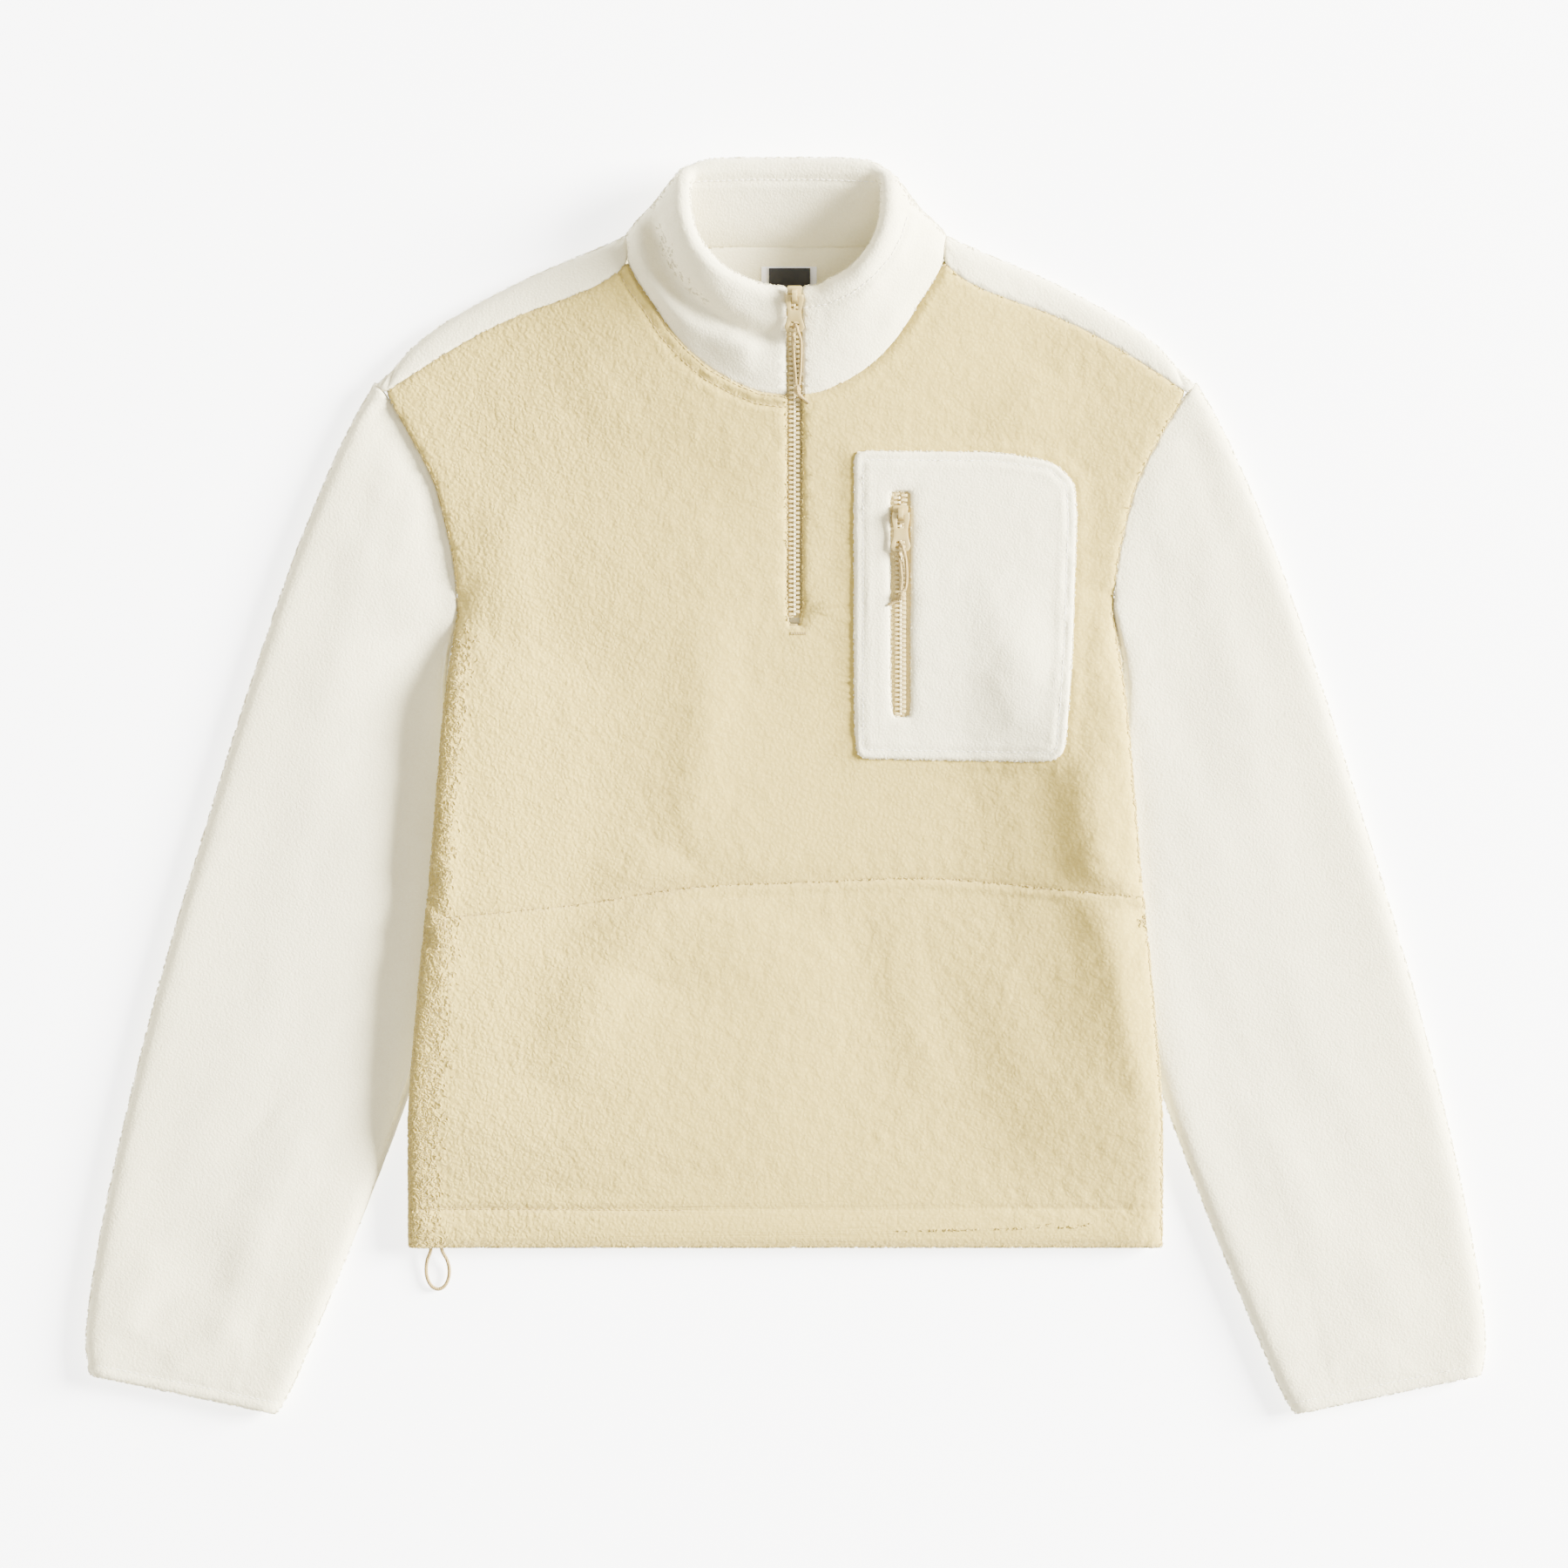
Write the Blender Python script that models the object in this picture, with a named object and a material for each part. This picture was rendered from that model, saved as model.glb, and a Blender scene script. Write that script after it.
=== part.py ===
"""A half-zip fleece pullover, laid flat on its back with the front up.

Lengths below are millimetres, and MM turns them into metres on the way into a mesh.
X runs across the garment, Y from the hem to the collar, Z up from the surface.
The garment's own right sleeve lies at -X.
"""

import math
from collections import namedtuple

import bmesh
import bpy
import numpy as np
from mathutils.geometry import delaunay_2d_cdt

MM = 0.001

# Driving sizes: cloth walls and the gap that sewn pieces keep
FRONT_WALL = 4.0
BACK_WALL = 3.5
SLEEVE_WALL = 3.5
COLLAR_HALF_WALL = 3.4
RIM_HALF_WALL = 5.6
SEAM_GAP = 0.3

# Plan outline, right half; the left half mirrors it
HEM_Y = -274.5
UNDERARM_Y = 104.0
BODY_HALF_WIDTH = ((-274.5, 224.5), (-206, 224), (-123, 218), (-40, 210), (43, 203), (104, 195.5))
ARMHOLE = ((104, 195.5), (130, 197), (155, 202), (183, 209.5), (206, 221.5), (228, 234), (241, 245.5))
SHOULDER_FOLD = ((0, 352), (60, 346), (87, 333.5), (106, 324), (132, 314), (176, 293), (212, 272),
                 (236, 251), (246, 241), (256, 228))
FORWARD_SEAM = ((94, 311.5), (104, 303), (120, 295), (163, 280), (207.5, 256), (239, 235.3))
NECKLINE = ((0, 233.5), (13, 234), (31, 240.5), (46, 249), (59, 260.5), (70, 273), (79, 288), (88, 301), (94, 311.5))
NECK_X = 2.0
NECK_SHIFT_START = 30.0
NECK_SHIFT_REACH = 60.0
BACK_NECK_Y = 322.6
NECK_SIDE_X = 95.5
NECK_TURN_IN = 8.0
NECK_TURN_UNDER = 1.5
SLEEVE_OUTER = ((245.5, 241), (263, 210), (290, 147), (319, 64), (345, -19), (370, -102), (392, -186),
                (410, -269), (418.6, -330), (416, -351))
SLEEVE_INNER = ((196.2, 104), (200, 84), (203.4, 56), (201, 24), (192, -25), (197, -90), (221, -172), (241, -227),
                (266, -290), (289, -345), (296, -361), (304, -374.4))

# Heights: the rolled edges, and how far the layers stand apart inside
ROLL_REACH = 8.0
ROLL_ARC = 10.4
FRONT_ROLL = 5.2
BACK_ROLL = 5.0
SIDE_FADE = 24.0
LAID_GAP = 1.4
LEAST_GAP = 0.9
SIDE_GAP = FRONT_ROLL - FRONT_WALL + BACK_ROLL - BACK_WALL + SEAM_GAP
SHOULDER_REACH = 9.0
SHOULDER_ARC = 24.0
SHOULDER_ROLL = ((0, 9.0), (60, 9.0), (95, 8.6), (150, 5.6), (180, 5.25), (260, 5.25))
NECK_GAP = 7.6
NECK_ELLIPSE = (95.0, 98.0, 330.0)
LIFT = 11.0
LIFT_TOP_Y = 96.0
LIFT_TOP_REACH = 44.0
LIFT_LOW_Y = -188.0
LIFT_LOW_REACH = 72.0
RAMP_START = 104.0
RAMP_END = 23.0
SIDE_GAP_REACH = 30.0
FOLD_SIDE_REACH = 14.0
FOLD_HEM_REACH = 35.0
NECK_REACH = 75.0
SHOULDER_BLEND = 55.0

# Sleeves: their heights, and how soon they take their own form below the armhole, as shares of their length
SLEEVE_MIDDLE = 9.3
SLEEVE_EDGE_TOP = 10.5
SLEEVE_ROLL_REACH = 10.0
ARMHOLE_ROLL_REACH = 7.0
SLEEVE_SHIFT = 0.25
SLEEVE_BOW_END = 0.22
SLEEVE_REACH_END = 0.08
SLEEVE_HEIGHT_END = 0.05
SLEEVE_FOLD_END = 0.03
SLEEVE_EDGE_BLEND = 22.0
SLEEVE_FOLD_EDGE = 12.0
UNDER_BODY_REACH = 16.0
UNDER_BODY_SPACE = 0.45

# Soft ridges (height over 0) and troughs in the laid cloth, as straight strokes on the plan
Fold = namedtuple("Fold", "x0 y0 x1 y1 half_width height")
FRONT_FOLDS = (
    Fold(-196, 175, -172, 40, 20, 1.6),
    Fold(-150, 180, -188, 96, 17, 2.2),
    Fold(-72, 120, -108, -70, 24, 1.7),
    Fold(190, 40, 202, -170, 15, 3.0),
    Fold(148, 30, 176, -120, 13, -0.9),
    Fold(98, -62, 160, -225, 20, 2.6),
    Fold(48, -50, 92, -190, 17, -0.8),
    Fold(12, -80, -12, -235, 30, 1.5),
    Fold(-118, -80, -160, -225, 22, 2.2),
    Fold(-178, -110, -196, -235, 18, 1.7),
    Fold(150, 130, 128, 20, 17, 1.9),
    Fold(-30, 215, -48, 90, 20, 1.2),
    Fold(110, 250, 165, 215, 18, 1.4),
    Fold(-110, 255, -170, 205, 18, 1.5),
)
SLEEVE_FOLDS = (
    Fold(238, 214, 262, 120, 15, 1.8),
    Fold(262, 96, 300, -20, 20, 1.4),
    Fold(245, 10, 262, -70, 16, 1.5),
    Fold(338, -120, 352, -240, 18, 1.3),
    Fold(282, -175, 318, -280, 16, 1.5),
    Fold(335, -290, 385, -322, 15, 2.0),
    Fold(318, -330, 372, -344, 12, 1.5),
)
RIGHT_SLEEVE_FLAP = Fold(-219, 221, -233, 186, 7, -1.8)
LEFT_SLEEVE_CREASE = Fold(232, 233, 247, 196, 7, -1.8)

# Seams across the front, and the hem's channel
CROSS_SEAM = ((-212, -79), (-190, -77), (-118, -70), (-57, -60), (34, -56.5), (80, -54.5), (141, -59.3),
              (172, -62.4), (213, -66))
CROSS_SEAM_GROOVE = 0.9
CROSS_SEAM_HALF_WIDTH = 5.0
HEM_CHANNEL = 22.0
HEM_GROOVE = 1.1
HEM_GROOVE_HALF_WIDTH = 4.0
HEM_BULGE = 0.9
HEM_EDGE_DROP = 1.3
HEM_EDGE_REACH = 4.0

# Collar, right half: the middle of its rolled rim, and how it leaves the neck seam
Rim = namedtuple("Rim", "share x y z")
COLLAR_RIM = (
    Rim(0.00, 0, 291, 28.5),
    Rim(0.07, 13, 292, 29.5),
    Rim(0.15, 25, 295.5, 32),
    Rim(0.24, 37, 301, 35.5),
    Rim(0.33, 47, 309.5, 38.5),
    Rim(0.41, 55, 320, 39.5),
    Rim(0.48, 60, 332, 38.5),
    Rim(0.54, 61.5, 344, 35.5),
    Rim(0.60, 61.5, 355, 30.5),
    Rim(0.66, 58.5, 364, 24.5),
    Rim(0.73, 49, 367.8, 21),
    Rim(0.86, 25, 368.6, 19),
    Rim(1.00, 0, 368.8, 18),
)
COLLAR_SAG = 2.5
SAG_TURN = 1.6
RIM_SHIFT_RATE = 1.6
COLLAR_ROWS = (0.10, 0.24, 0.40, 0.56, 0.72, 0.86)
RIM_TURNS = 5
NUDGE = 0.004
COLLAR_BOW = 0.45
COLLAR_FOOT_END = 0.3
COLLAR_RIM_START = 0.45
COLLAR_RIM_BLEND = 0.5
COLLAR_FRONT_BLEND = 0.16
COLLAR_SIDE_START = 0.45
COLLAR_SIDE_BLEND = 0.3
COLLAR_TROUGH = 4.6
COLLAR_TROUGH_UP = 0.42
COLLAR_TROUGH_LEAN = 0.25
COLLAR_TROUGH_WIDTH = 0.17
COLLAR_TROUGH_START = 0.12
COLLAR_TROUGH_MIDDLE = 0.3
COLLAR_TROUGH_END = 0.6
COLLAR_TROUGH_FADE = 0.12

# Front zip, its slit and metalwork
ZIP_X = 5.2
ZIP_SLIT_HALF = 5.2
ZIP_LOW_Y = 96.0
SLIT_TAPER = 4.0
SLIT_END_HALF = 3.2
ZIP_STOP_Y = 101.0
TAPE_WALL = 1.1
CHAIN_HALF = 3.0
CHAIN_HEIGHT = 2.1
CHAIN_RECESS = 0.7
TAPE_HALF = 4.8
ZIP_STEP = 13.0
LINE_PIECE = (3.0, 13.0)

# Chest pocket and its zip
POCKET = ((41.5, 199.5), (124, 199), (160, 193.5), (172, 181), (173, 160), (170.5, 85), (165.5, 21),
          (159, 15.5), (45, 17.5), (41.5, 22))
POCKET_CLEAR_X = 176.0
POCKET_WALL = 3.4
POCKET_EDGE_DROP = 0.9
POCKET_EDGE_REACH = 4.0
POCKET_GAP = 0.45
POCKET_ZIP = (61.6, 40.6, 75.4, 177.0)
POCKET_ZIP_X = 68.5
POCKET_CHAIN_HALF = 2.8
POCKET_CHAIN_HEIGHT = 1.7

# Sliders and pulls
SLIDER_LENGTH = 10.5
SLIDER_TOP_WIDTH = 9.2
SLIDER_LOW_WIDTH = 6.6
SLIDER_HEIGHT = 2.2
SLIDER_CORNER = 1.1
BRIDGE_HALF = 1.5
BRIDGE_LENGTH = 7.4
BRIDGE_ARCH = ((0.0, -0.4), (0.0, 1.2), (1.2, 3.8), (2.3, 4.3))
PIN_HEIGHT = 2.1
BORE_RADIUS = 1.4
PULL_WALL = 1.4
PULL_SIDE = ((5.0, 0.7), (5.3, -2.5), (4.1, -9.0), (4.3, -13.5), (5.9, -19.6), (4.6, -22.0), (2.4, -22.4))
PULL_WINDOW = ((-2.2, -8.6), (2.2, -8.6), (2.2, -0.7), (-2.2, -0.7))
PULL_EYE = ((-3.2, -20.7), (3.2, -20.7), (2.5, -15.8), (-2.5, -15.8))
CENTRE_SLIDER_Y = 291.5
POCKET_SLIDER_Y = 162.5
PULL_DROOP = 4.0
CORD_RADIUS = 0.95
CORD_STEP = 2.6

# Each pull's cord, up under the pull's lower bar, through its eye and back down, then its knot and tail
CENTRE_CORD_ROUTE = ((6.3, 239.3, 17.4), (5.6, 246.0, 19.5), (5.0, 254.0, 21.6), (4.4, 262.0, 24.1),
                     (4.1, 267.5, 26.4), (4.2, 271.0, 27.5), (4.9, 273.3, 28.9), (5.6, 273.8, 30.8),
                     (6.4, 272.5, 32.3), (7.3, 269.6, 31.3), (8.3, 267.3, 29.0), (9.0, 264.0, 26.0),
                     (9.1, 258.5, 23.3), (8.9, 252.0, 21.2), (8.6, 245.5, 19.4), (8.0, 239.5, 17.4))
POCKET_CORD_ROUTE = ((68.8, 117.3, 13.9), (69.2, 124.0, 13.75), (68.6, 131.0, 13.75), (67.7, 137.0, 13.7),
                     (67.4, 140.9, 13.62), (67.8, 143.4, 14.1), (68.4, 144.5, 15.6), (69.2, 143.7, 17.3),
                     (70.0, 141.0, 17.75), (70.9, 138.4, 16.2), (71.6, 134.5, 14.4), (72.2, 128.5, 13.8),
                     (72.1, 122.0, 13.75), (71.1, 117.5, 13.9))
Knot = namedtuple("Knot", "x y z radius")
CENTRE_KNOT = (
    Knot(7.1, 238.6, 17.4, 0.9),
    Knot(7.0, 237.6, 17.7, 1.9),
    Knot(6.9, 236.2, 17.9, 2.3),
    Knot(7.1, 234.7, 17.6, 1.9),
    Knot(8.2, 233.2, 16.9, 1.1),
    Knot(10.6, 231.0, 16.5, 0.85),
    Knot(13.8, 228.4, 16.4, 0.8),
)
POCKET_KNOT = (
    Knot(69.7, 116.5, 14.3, 0.9),
    Knot(69.4, 115.4, 14.7, 1.9),
    Knot(69.0, 114.0, 14.9, 2.3),
    Knot(68.3, 112.6, 14.7, 1.9),
    Knot(66.8, 111.3, 14.2, 1.1),
    Knot(64.4, 110.0, 14.0, 0.85),
    Knot(61.2, 108.2, 13.9, 0.8),
)
KNOT_SIDES = 8

# Neck label and the hem's drawcord
LABEL_BASE = (-14.5, 290.0, 18.5, 311.0)
LABEL = (-10.0, 289.0, 14.6, 310.0)
LABEL_WALL = 0.8
DRAWCORD_RADIUS = 1.1
DRAWCORD_ROUTE = ((-212.0, -275.2, 5.0), (-212.5, -278.2, 4.4), (-214.4, -283.0, 3.1), (-215.2, -288.5, 1.8),
                  (-214.6, -294.0, 1.4), (-211.9, -299.0, 1.4), (-208.0, -300.8, 1.4), (-204.2, -298.9, 1.4),
                  (-201.8, -294.0, 1.4), (-201.4, -288.5, 1.8), (-202.7, -283.0, 3.1), (-205.2, -278.2, 4.4),
                  (-206.0, -275.2, 5.0))

# Mesh steps
NECK_STATIONS = (18.0, 29, 40, 51, 61, 70, 78, 86, 94)
FORWARD_STATIONS = (94.2, 104, 118, 135, 152, 169, 186, 203, 218, 230, 238.3)
SHOULDER_STATIONS = (104.0, 118, 135, 152, 169, 186, 203, 218, 230)
SHOULDER_TURNS = (0.0, 45.0, 90.0, 135.0, 180.0)
TIP_STATIONS_UNDER = (238.2, 242.0, 244.6, 245.3)
TIP_STATIONS_OVER = (244.6, 242.4)
ARMHOLE_TOP_BACK = 226.0
ARMHOLE_TOP_FRONT = 228.0
FOLD_TURNS = (180, 150, 120, 90, 62, 34, 0)
BACK_NECK_STATIONS = (68.0, 48, 24)
PANEL_STEP = 21.0
BACK_STEP = 30.0
HEM_STEP = 26.0
POCKET_STEP = 19.0
LABEL_STEP = 12.0
RIM_STEP = 13.0
ARMHOLE_STEP = 9.75
ROW_BREAK = 40.0
POINT_SPACE = 0.62
EDGE_SPACE = 0.45
ROW_SPACE = 6.0
HEM_ROWS = (4.0, 11.0, HEM_CHANNEL - 4, HEM_CHANNEL, HEM_CHANNEL + 5)
SHARP_ANGLE = 50.0
ROLL_SHARES = (0.0, 0.33, 0.66)
RAMP_ROWS = (-RAMP_END, -43.0, -66.0, -88.0)

TAN = ((0.72, 0.62, 0.42, 1.0), 0.95, 0.0)
CREAM = ((0.80, 0.76, 0.66, 1.0), 0.95, 0.0)
TAPE = ((0.70, 0.61, 0.43, 1.0), 0.85, 0.0)
TEETH = ((0.66, 0.57, 0.38, 1.0), 0.45, 0.0)
ENAMEL = ((0.70, 0.60, 0.41, 1.0), 0.35, 0.3)
BLACK = ((0.02, 0.02, 0.022, 1.0), 0.8, 0.0)
WHITE = ((0.80, 0.80, 0.82, 1.0), 0.8, 0.0)


# ---------------------------------------------------------------- curves and small helpers

def clear_scene():
    for obj in list(bpy.data.objects):
        bpy.data.objects.remove(obj, do_unlink=True)


def step(value):
    """Smooth 0 to 1 as value goes from 0 to 1."""
    t = min(max(value, 0.0), 1.0)
    return t * t * (3.0 - 2.0 * t)


def mix(a, b, share):
    return a + (b - a) * share


def through(rows):
    """A smooth function of the first column that passes through every row, with no overshoot."""
    xs = [float(row[0]) for row in rows]
    ys = [float(row[1]) for row in rows]
    slopes = [(ys[i + 1] - ys[i]) / (xs[i + 1] - xs[i]) for i in range(len(xs) - 1)]
    tangents = [slopes[0]]
    for before, after in zip(slopes, slopes[1:]):
        product = before * after
        tangents.append(2.0 * product / (before + after) if product > 0.0 else 0.0)
    tangents.append(slopes[-1])

    def value(x):
        if x <= xs[0]:
            return ys[0] + slopes[0] * (x - xs[0])
        if x >= xs[-1]:
            return ys[-1] + slopes[-1] * (x - xs[-1])
        i = max(k for k in range(len(xs) - 1) if xs[k] <= x)
        span = xs[i + 1] - xs[i]
        t = (x - xs[i]) / span
        rise = (2 * t - 3) * t * t
        return (ys[i] * (rise + 1) + ys[i + 1] * -rise
                + span * t * (1 - t) * (tangents[i] * (1 - t) - tangents[i + 1] * t))
    return value


def smooth_path(points, share):
    """The point at a share of the way along a Catmull-Rom curve through the points."""
    pts = np.array(points, dtype=float)
    chords = np.linalg.norm(np.diff(pts, axis=0), axis=1)
    marks = np.concatenate(([0.0], np.cumsum(chords)))
    place = share * marks[-1]
    i = int(min(max(np.searchsorted(marks, place) - 1, 0), len(pts) - 2))
    t = (place - marks[i]) / chords[i]
    before = pts[i - 1] if i > 0 else 2 * pts[0] - pts[1]
    after = pts[i + 2] if i + 2 < len(pts) else 2 * pts[-1] - pts[-2]
    a, b = pts[i], pts[i + 1]
    lead = (b - before) * chords[i] / (np.linalg.norm(a - before) + chords[i])
    tail = (after - a) * chords[i] / (np.linalg.norm(after - b) + chords[i])
    rise = t * t * (3 - 2 * t)
    return a * (1 - rise) + b * rise + t * (1 - t) * (lead * (1 - t) - tail * t)


def fold_height(folds, x, y):
    """The sum of the soft strokes at a plan point."""
    total = 0.0
    for fold in folds:
        dx, dy = fold.x1 - fold.x0, fold.y1 - fold.y0
        along = ((x - fold.x0) * dx + (y - fold.y0) * dy) / (dx * dx + dy * dy)
        t = min(max(along, 0.0), 1.0)
        away = math.hypot(x - fold.x0 - t * dx, y - fold.y0 - t * dy) / fold.half_width
        if away < 3.0:
            total += fold.height * math.exp(-away * away) * (1.0 - (2.0 * t - 1.0) ** 4)
    return total


body_half = through(BODY_HALF_WIDTH)
armhole_x = through(ARMHOLE)
shoulder_y = through(SHOULDER_FOLD)
forward_seam_y = through(FORWARD_SEAM)
shoulder_roll = through(SHOULDER_ROLL)
cross_seam_y = through(CROSS_SEAM)


# ---------------------------------------------------------------- heights of the laid garment

def side_edge(y):
    """How far the body reaches from its middle: its side edge, or its armhole seam above the underarm."""
    return body_half(y) if y <= UNDERARM_Y else armhole_x(y)


def roll_share(y):
    """1 where the side edge rolls round to the side seam, 0 where it meets the sleeve as a flat layer."""
    return 1.0 - step((y - UNDERARM_Y) / SIDE_FADE)


def underside(x, y):
    """The back's lower face: on the surface, and lifted at the side where a sleeve lies under it."""
    if y >= LIFT_TOP_Y:
        return 0.0
    raised = step((LIFT_TOP_Y - y) / LIFT_TOP_REACH) * (1.0 - step((LIFT_LOW_Y - y) / LIFT_LOW_REACH))
    return LIFT * raised * step((abs(x) - body_half(y) + RAMP_START) / (RAMP_START - RAMP_END))


def inner_gap(x, y):
    """The space between the back's upper face and the front's lower face."""
    to_side = side_edge(y) - ROLL_REACH - abs(x)
    gap = mix(LAID_GAP, SIDE_GAP, step(1.0 - to_side / SIDE_GAP_REACH))
    folds = fold_height(FRONT_FOLDS, x, y) * step(to_side / FOLD_SIDE_REACH)
    gap += folds * step((y - HEM_Y) / FOLD_HEM_REACH)
    half_x, half_y, centre_y = NECK_ELLIPSE
    ring = math.hypot((x - NECK_X) / half_x, (y - centre_y) / half_y)
    near_neck = step(1.0 - (ring - 1.0) * half_x / NECK_REACH)
    gap = mix(gap, max(gap, NECK_GAP), near_neck)
    to_fold = shoulder_y(abs(x)) - SHOULDER_REACH - y
    folded = 2.0 * shoulder_roll(abs(x)) - BACK_WALL - FRONT_WALL
    return max(mix(gap, folded, step(1.0 - to_fold / SHOULDER_BLEND)), LEAST_GAP)


def front_dip(x, y):
    """Seams press the front's outer face in, and the hem's channel stands a little proud."""
    to_seam = abs(y - cross_seam_y(x)) / CROSS_SEAM_HALF_WIDTH
    dip = CROSS_SEAM_GROOVE * math.exp(-to_seam * to_seam)
    above_hem = y - HEM_Y
    to_stitch = (above_hem - HEM_CHANNEL) / HEM_GROOVE_HALF_WIDTH
    dip += HEM_GROOVE * math.exp(-to_stitch * to_stitch)
    if above_hem < HEM_CHANNEL:
        dip -= HEM_BULGE * math.sin(math.pi * above_hem / HEM_CHANNEL)
        dip += HEM_EDGE_DROP * max(1.0 - above_hem / HEM_EDGE_REACH, 0.0)
    return dip


def upper(x, y):
    """The height of the garment's upper face over the plan, before its edges roll down."""
    return underside(x, y) + BACK_WALL + inner_gap(x, y) + FRONT_WALL


def place_front(s, y):
    """The outer and inner points of the front, s across it from its middle and round the side roll."""
    side = math.copysign(1.0, s)
    flat_end = side_edge(y) - ROLL_REACH
    away = abs(s)
    if away <= flat_end:
        top = upper(s, y)
        return (s, y, top - front_dip(s, y)), (s, y, top - FRONT_WALL)
    share = (away - flat_end) / ROLL_ARC
    k = roll_share(y)
    turn = share * math.pi / 2
    reach = mix(share, math.sin(turn), k)
    drop = k * (1.0 - math.cos(turn))
    x_out = flat_end + ROLL_REACH * reach
    x_in = flat_end + (ROLL_REACH - k * FRONT_WALL) * reach
    top = upper(x_out, y)
    dip = front_dip(x_out, y) * (1.0 - share)
    outer = (side * x_out, y, top - FRONT_ROLL * drop - dip)
    inner = (side * x_in, y, top - FRONT_WALL - (FRONT_ROLL - FRONT_WALL) * drop)
    return outer, inner


def place_back(s, t):
    """The outer and inner points of the back: s across it, t up it and then over the shoulder's fold."""
    side = math.copysign(1.0, s)
    roll_start = shoulder_y(abs(s)) - SHOULDER_REACH
    if t > roll_start:
        radius = shoulder_roll(abs(s))
        turn = math.pi * min((t - roll_start) / SHOULDER_ARC, 1.0)
        past = max(t - roll_start - SHOULDER_ARC, 0.0)
        y = roll_start - past
        if past > 0.0:
            top = upper(s, y)
            return (s, y, top), (s, y, top - BACK_WALL)
        outer = (s, y + SHOULDER_REACH * math.sin(turn), radius * (1.0 - math.cos(turn)))
        y_in = y + (SHOULDER_REACH - BACK_WALL) * math.sin(turn)
        x_in = side * min(abs(s), armhole_x(max(y_in, UNDERARM_Y)) - 0.5 * SEAM_GAP)
        return outer, (x_in, y_in, radius - (radius - BACK_WALL) * math.cos(turn))
    flat_end = side_edge(t) - ROLL_REACH
    away = abs(s)
    if away <= flat_end:
        low = underside(s, t)
        return (s, t, low), (s, t, low + BACK_WALL)
    share = (away - flat_end) / ROLL_ARC
    k = roll_share(t)
    turn = share * math.pi / 2
    reach = mix(share, math.sin(turn), k)
    rise = k * (1.0 - math.cos(turn))
    x_out = flat_end + ROLL_REACH * reach
    x_in = flat_end + (ROLL_REACH - k * BACK_WALL) * reach
    low = underside(x_out, t)
    outer = (side * x_out, t, low + BACK_ROLL * rise)
    inner = (side * x_in, t, low + BACK_WALL + (BACK_ROLL - BACK_WALL) * rise)
    return outer, inner


# ---------------------------------------------------------------- solids

def finish_mesh(name, verts, faces, look):
    """One closed body with its faces out, smooth but for its sharp edges."""
    mesh = bpy.data.meshes.new(name)
    mesh.from_pydata([tuple(c * MM for c in v) for v in verts], [], faces)
    bm = bmesh.new()
    bm.from_mesh(mesh)
    bmesh.ops.recalc_face_normals(bm, faces=bm.faces)
    bmesh.ops.triangulate(bm, faces=bm.faces)
    if bm.calc_volume(signed=True) < 0.0:
        bmesh.ops.reverse_faces(bm, faces=bm.faces)
    bm.to_mesh(mesh)
    bm.free()
    mesh.shade_smooth()
    mesh.set_sharp_from_angle(angle=math.radians(SHARP_ANGLE))
    obj = bpy.data.objects.new(name, mesh)
    bpy.context.collection.objects.link(obj)
    mesh.materials.append(material(name, look))
    return obj


def material(name, look):
    colour, roughness, metallic = look
    mat = bpy.data.materials.new(name)
    mat.use_nodes = True
    shader = mat.node_tree.nodes["Principled BSDF"]
    shader.inputs["Base Color"].default_value = colour
    shader.inputs["Roughness"].default_value = roughness
    shader.inputs["Metallic"].default_value = metallic
    return mat


def evenly(points, spacing):
    """Points along a polyline, its own corners kept, with none further apart than the spacing."""
    out = []
    for a, b in zip(points, points[1:]):
        count = max(1, math.ceil(math.dist(a, b) / spacing))
        out += [(mix(a[0], b[0], i / count), mix(a[1], b[1], i / count)) for i in range(count)]
    return out + [points[-1]]


def inside(point, loop):
    """Whether a plan point lies inside a closed loop of points."""
    x, y = point
    hit = False
    for (ax, ay), (bx, by) in zip(loop, loop[1:] + loop[:1]):
        if (ay > y) != (by > y) and x < (bx - ax) * (y - ay) / (by - ay) + ax:
            hit = not hit
    return hit


def distance_to(point, loop):
    """How far a plan point lies from a closed loop."""
    p = np.array(point)
    a = np.array(loop)
    b = np.roll(a, -1, axis=0)
    ab = b - a
    t = np.clip(((p - a) * ab).sum(axis=1) / (ab * ab).sum(axis=1), 0.0, 1.0)
    return float(np.linalg.norm(a + ab * t[:, None] - p, axis=1).min())


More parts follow.
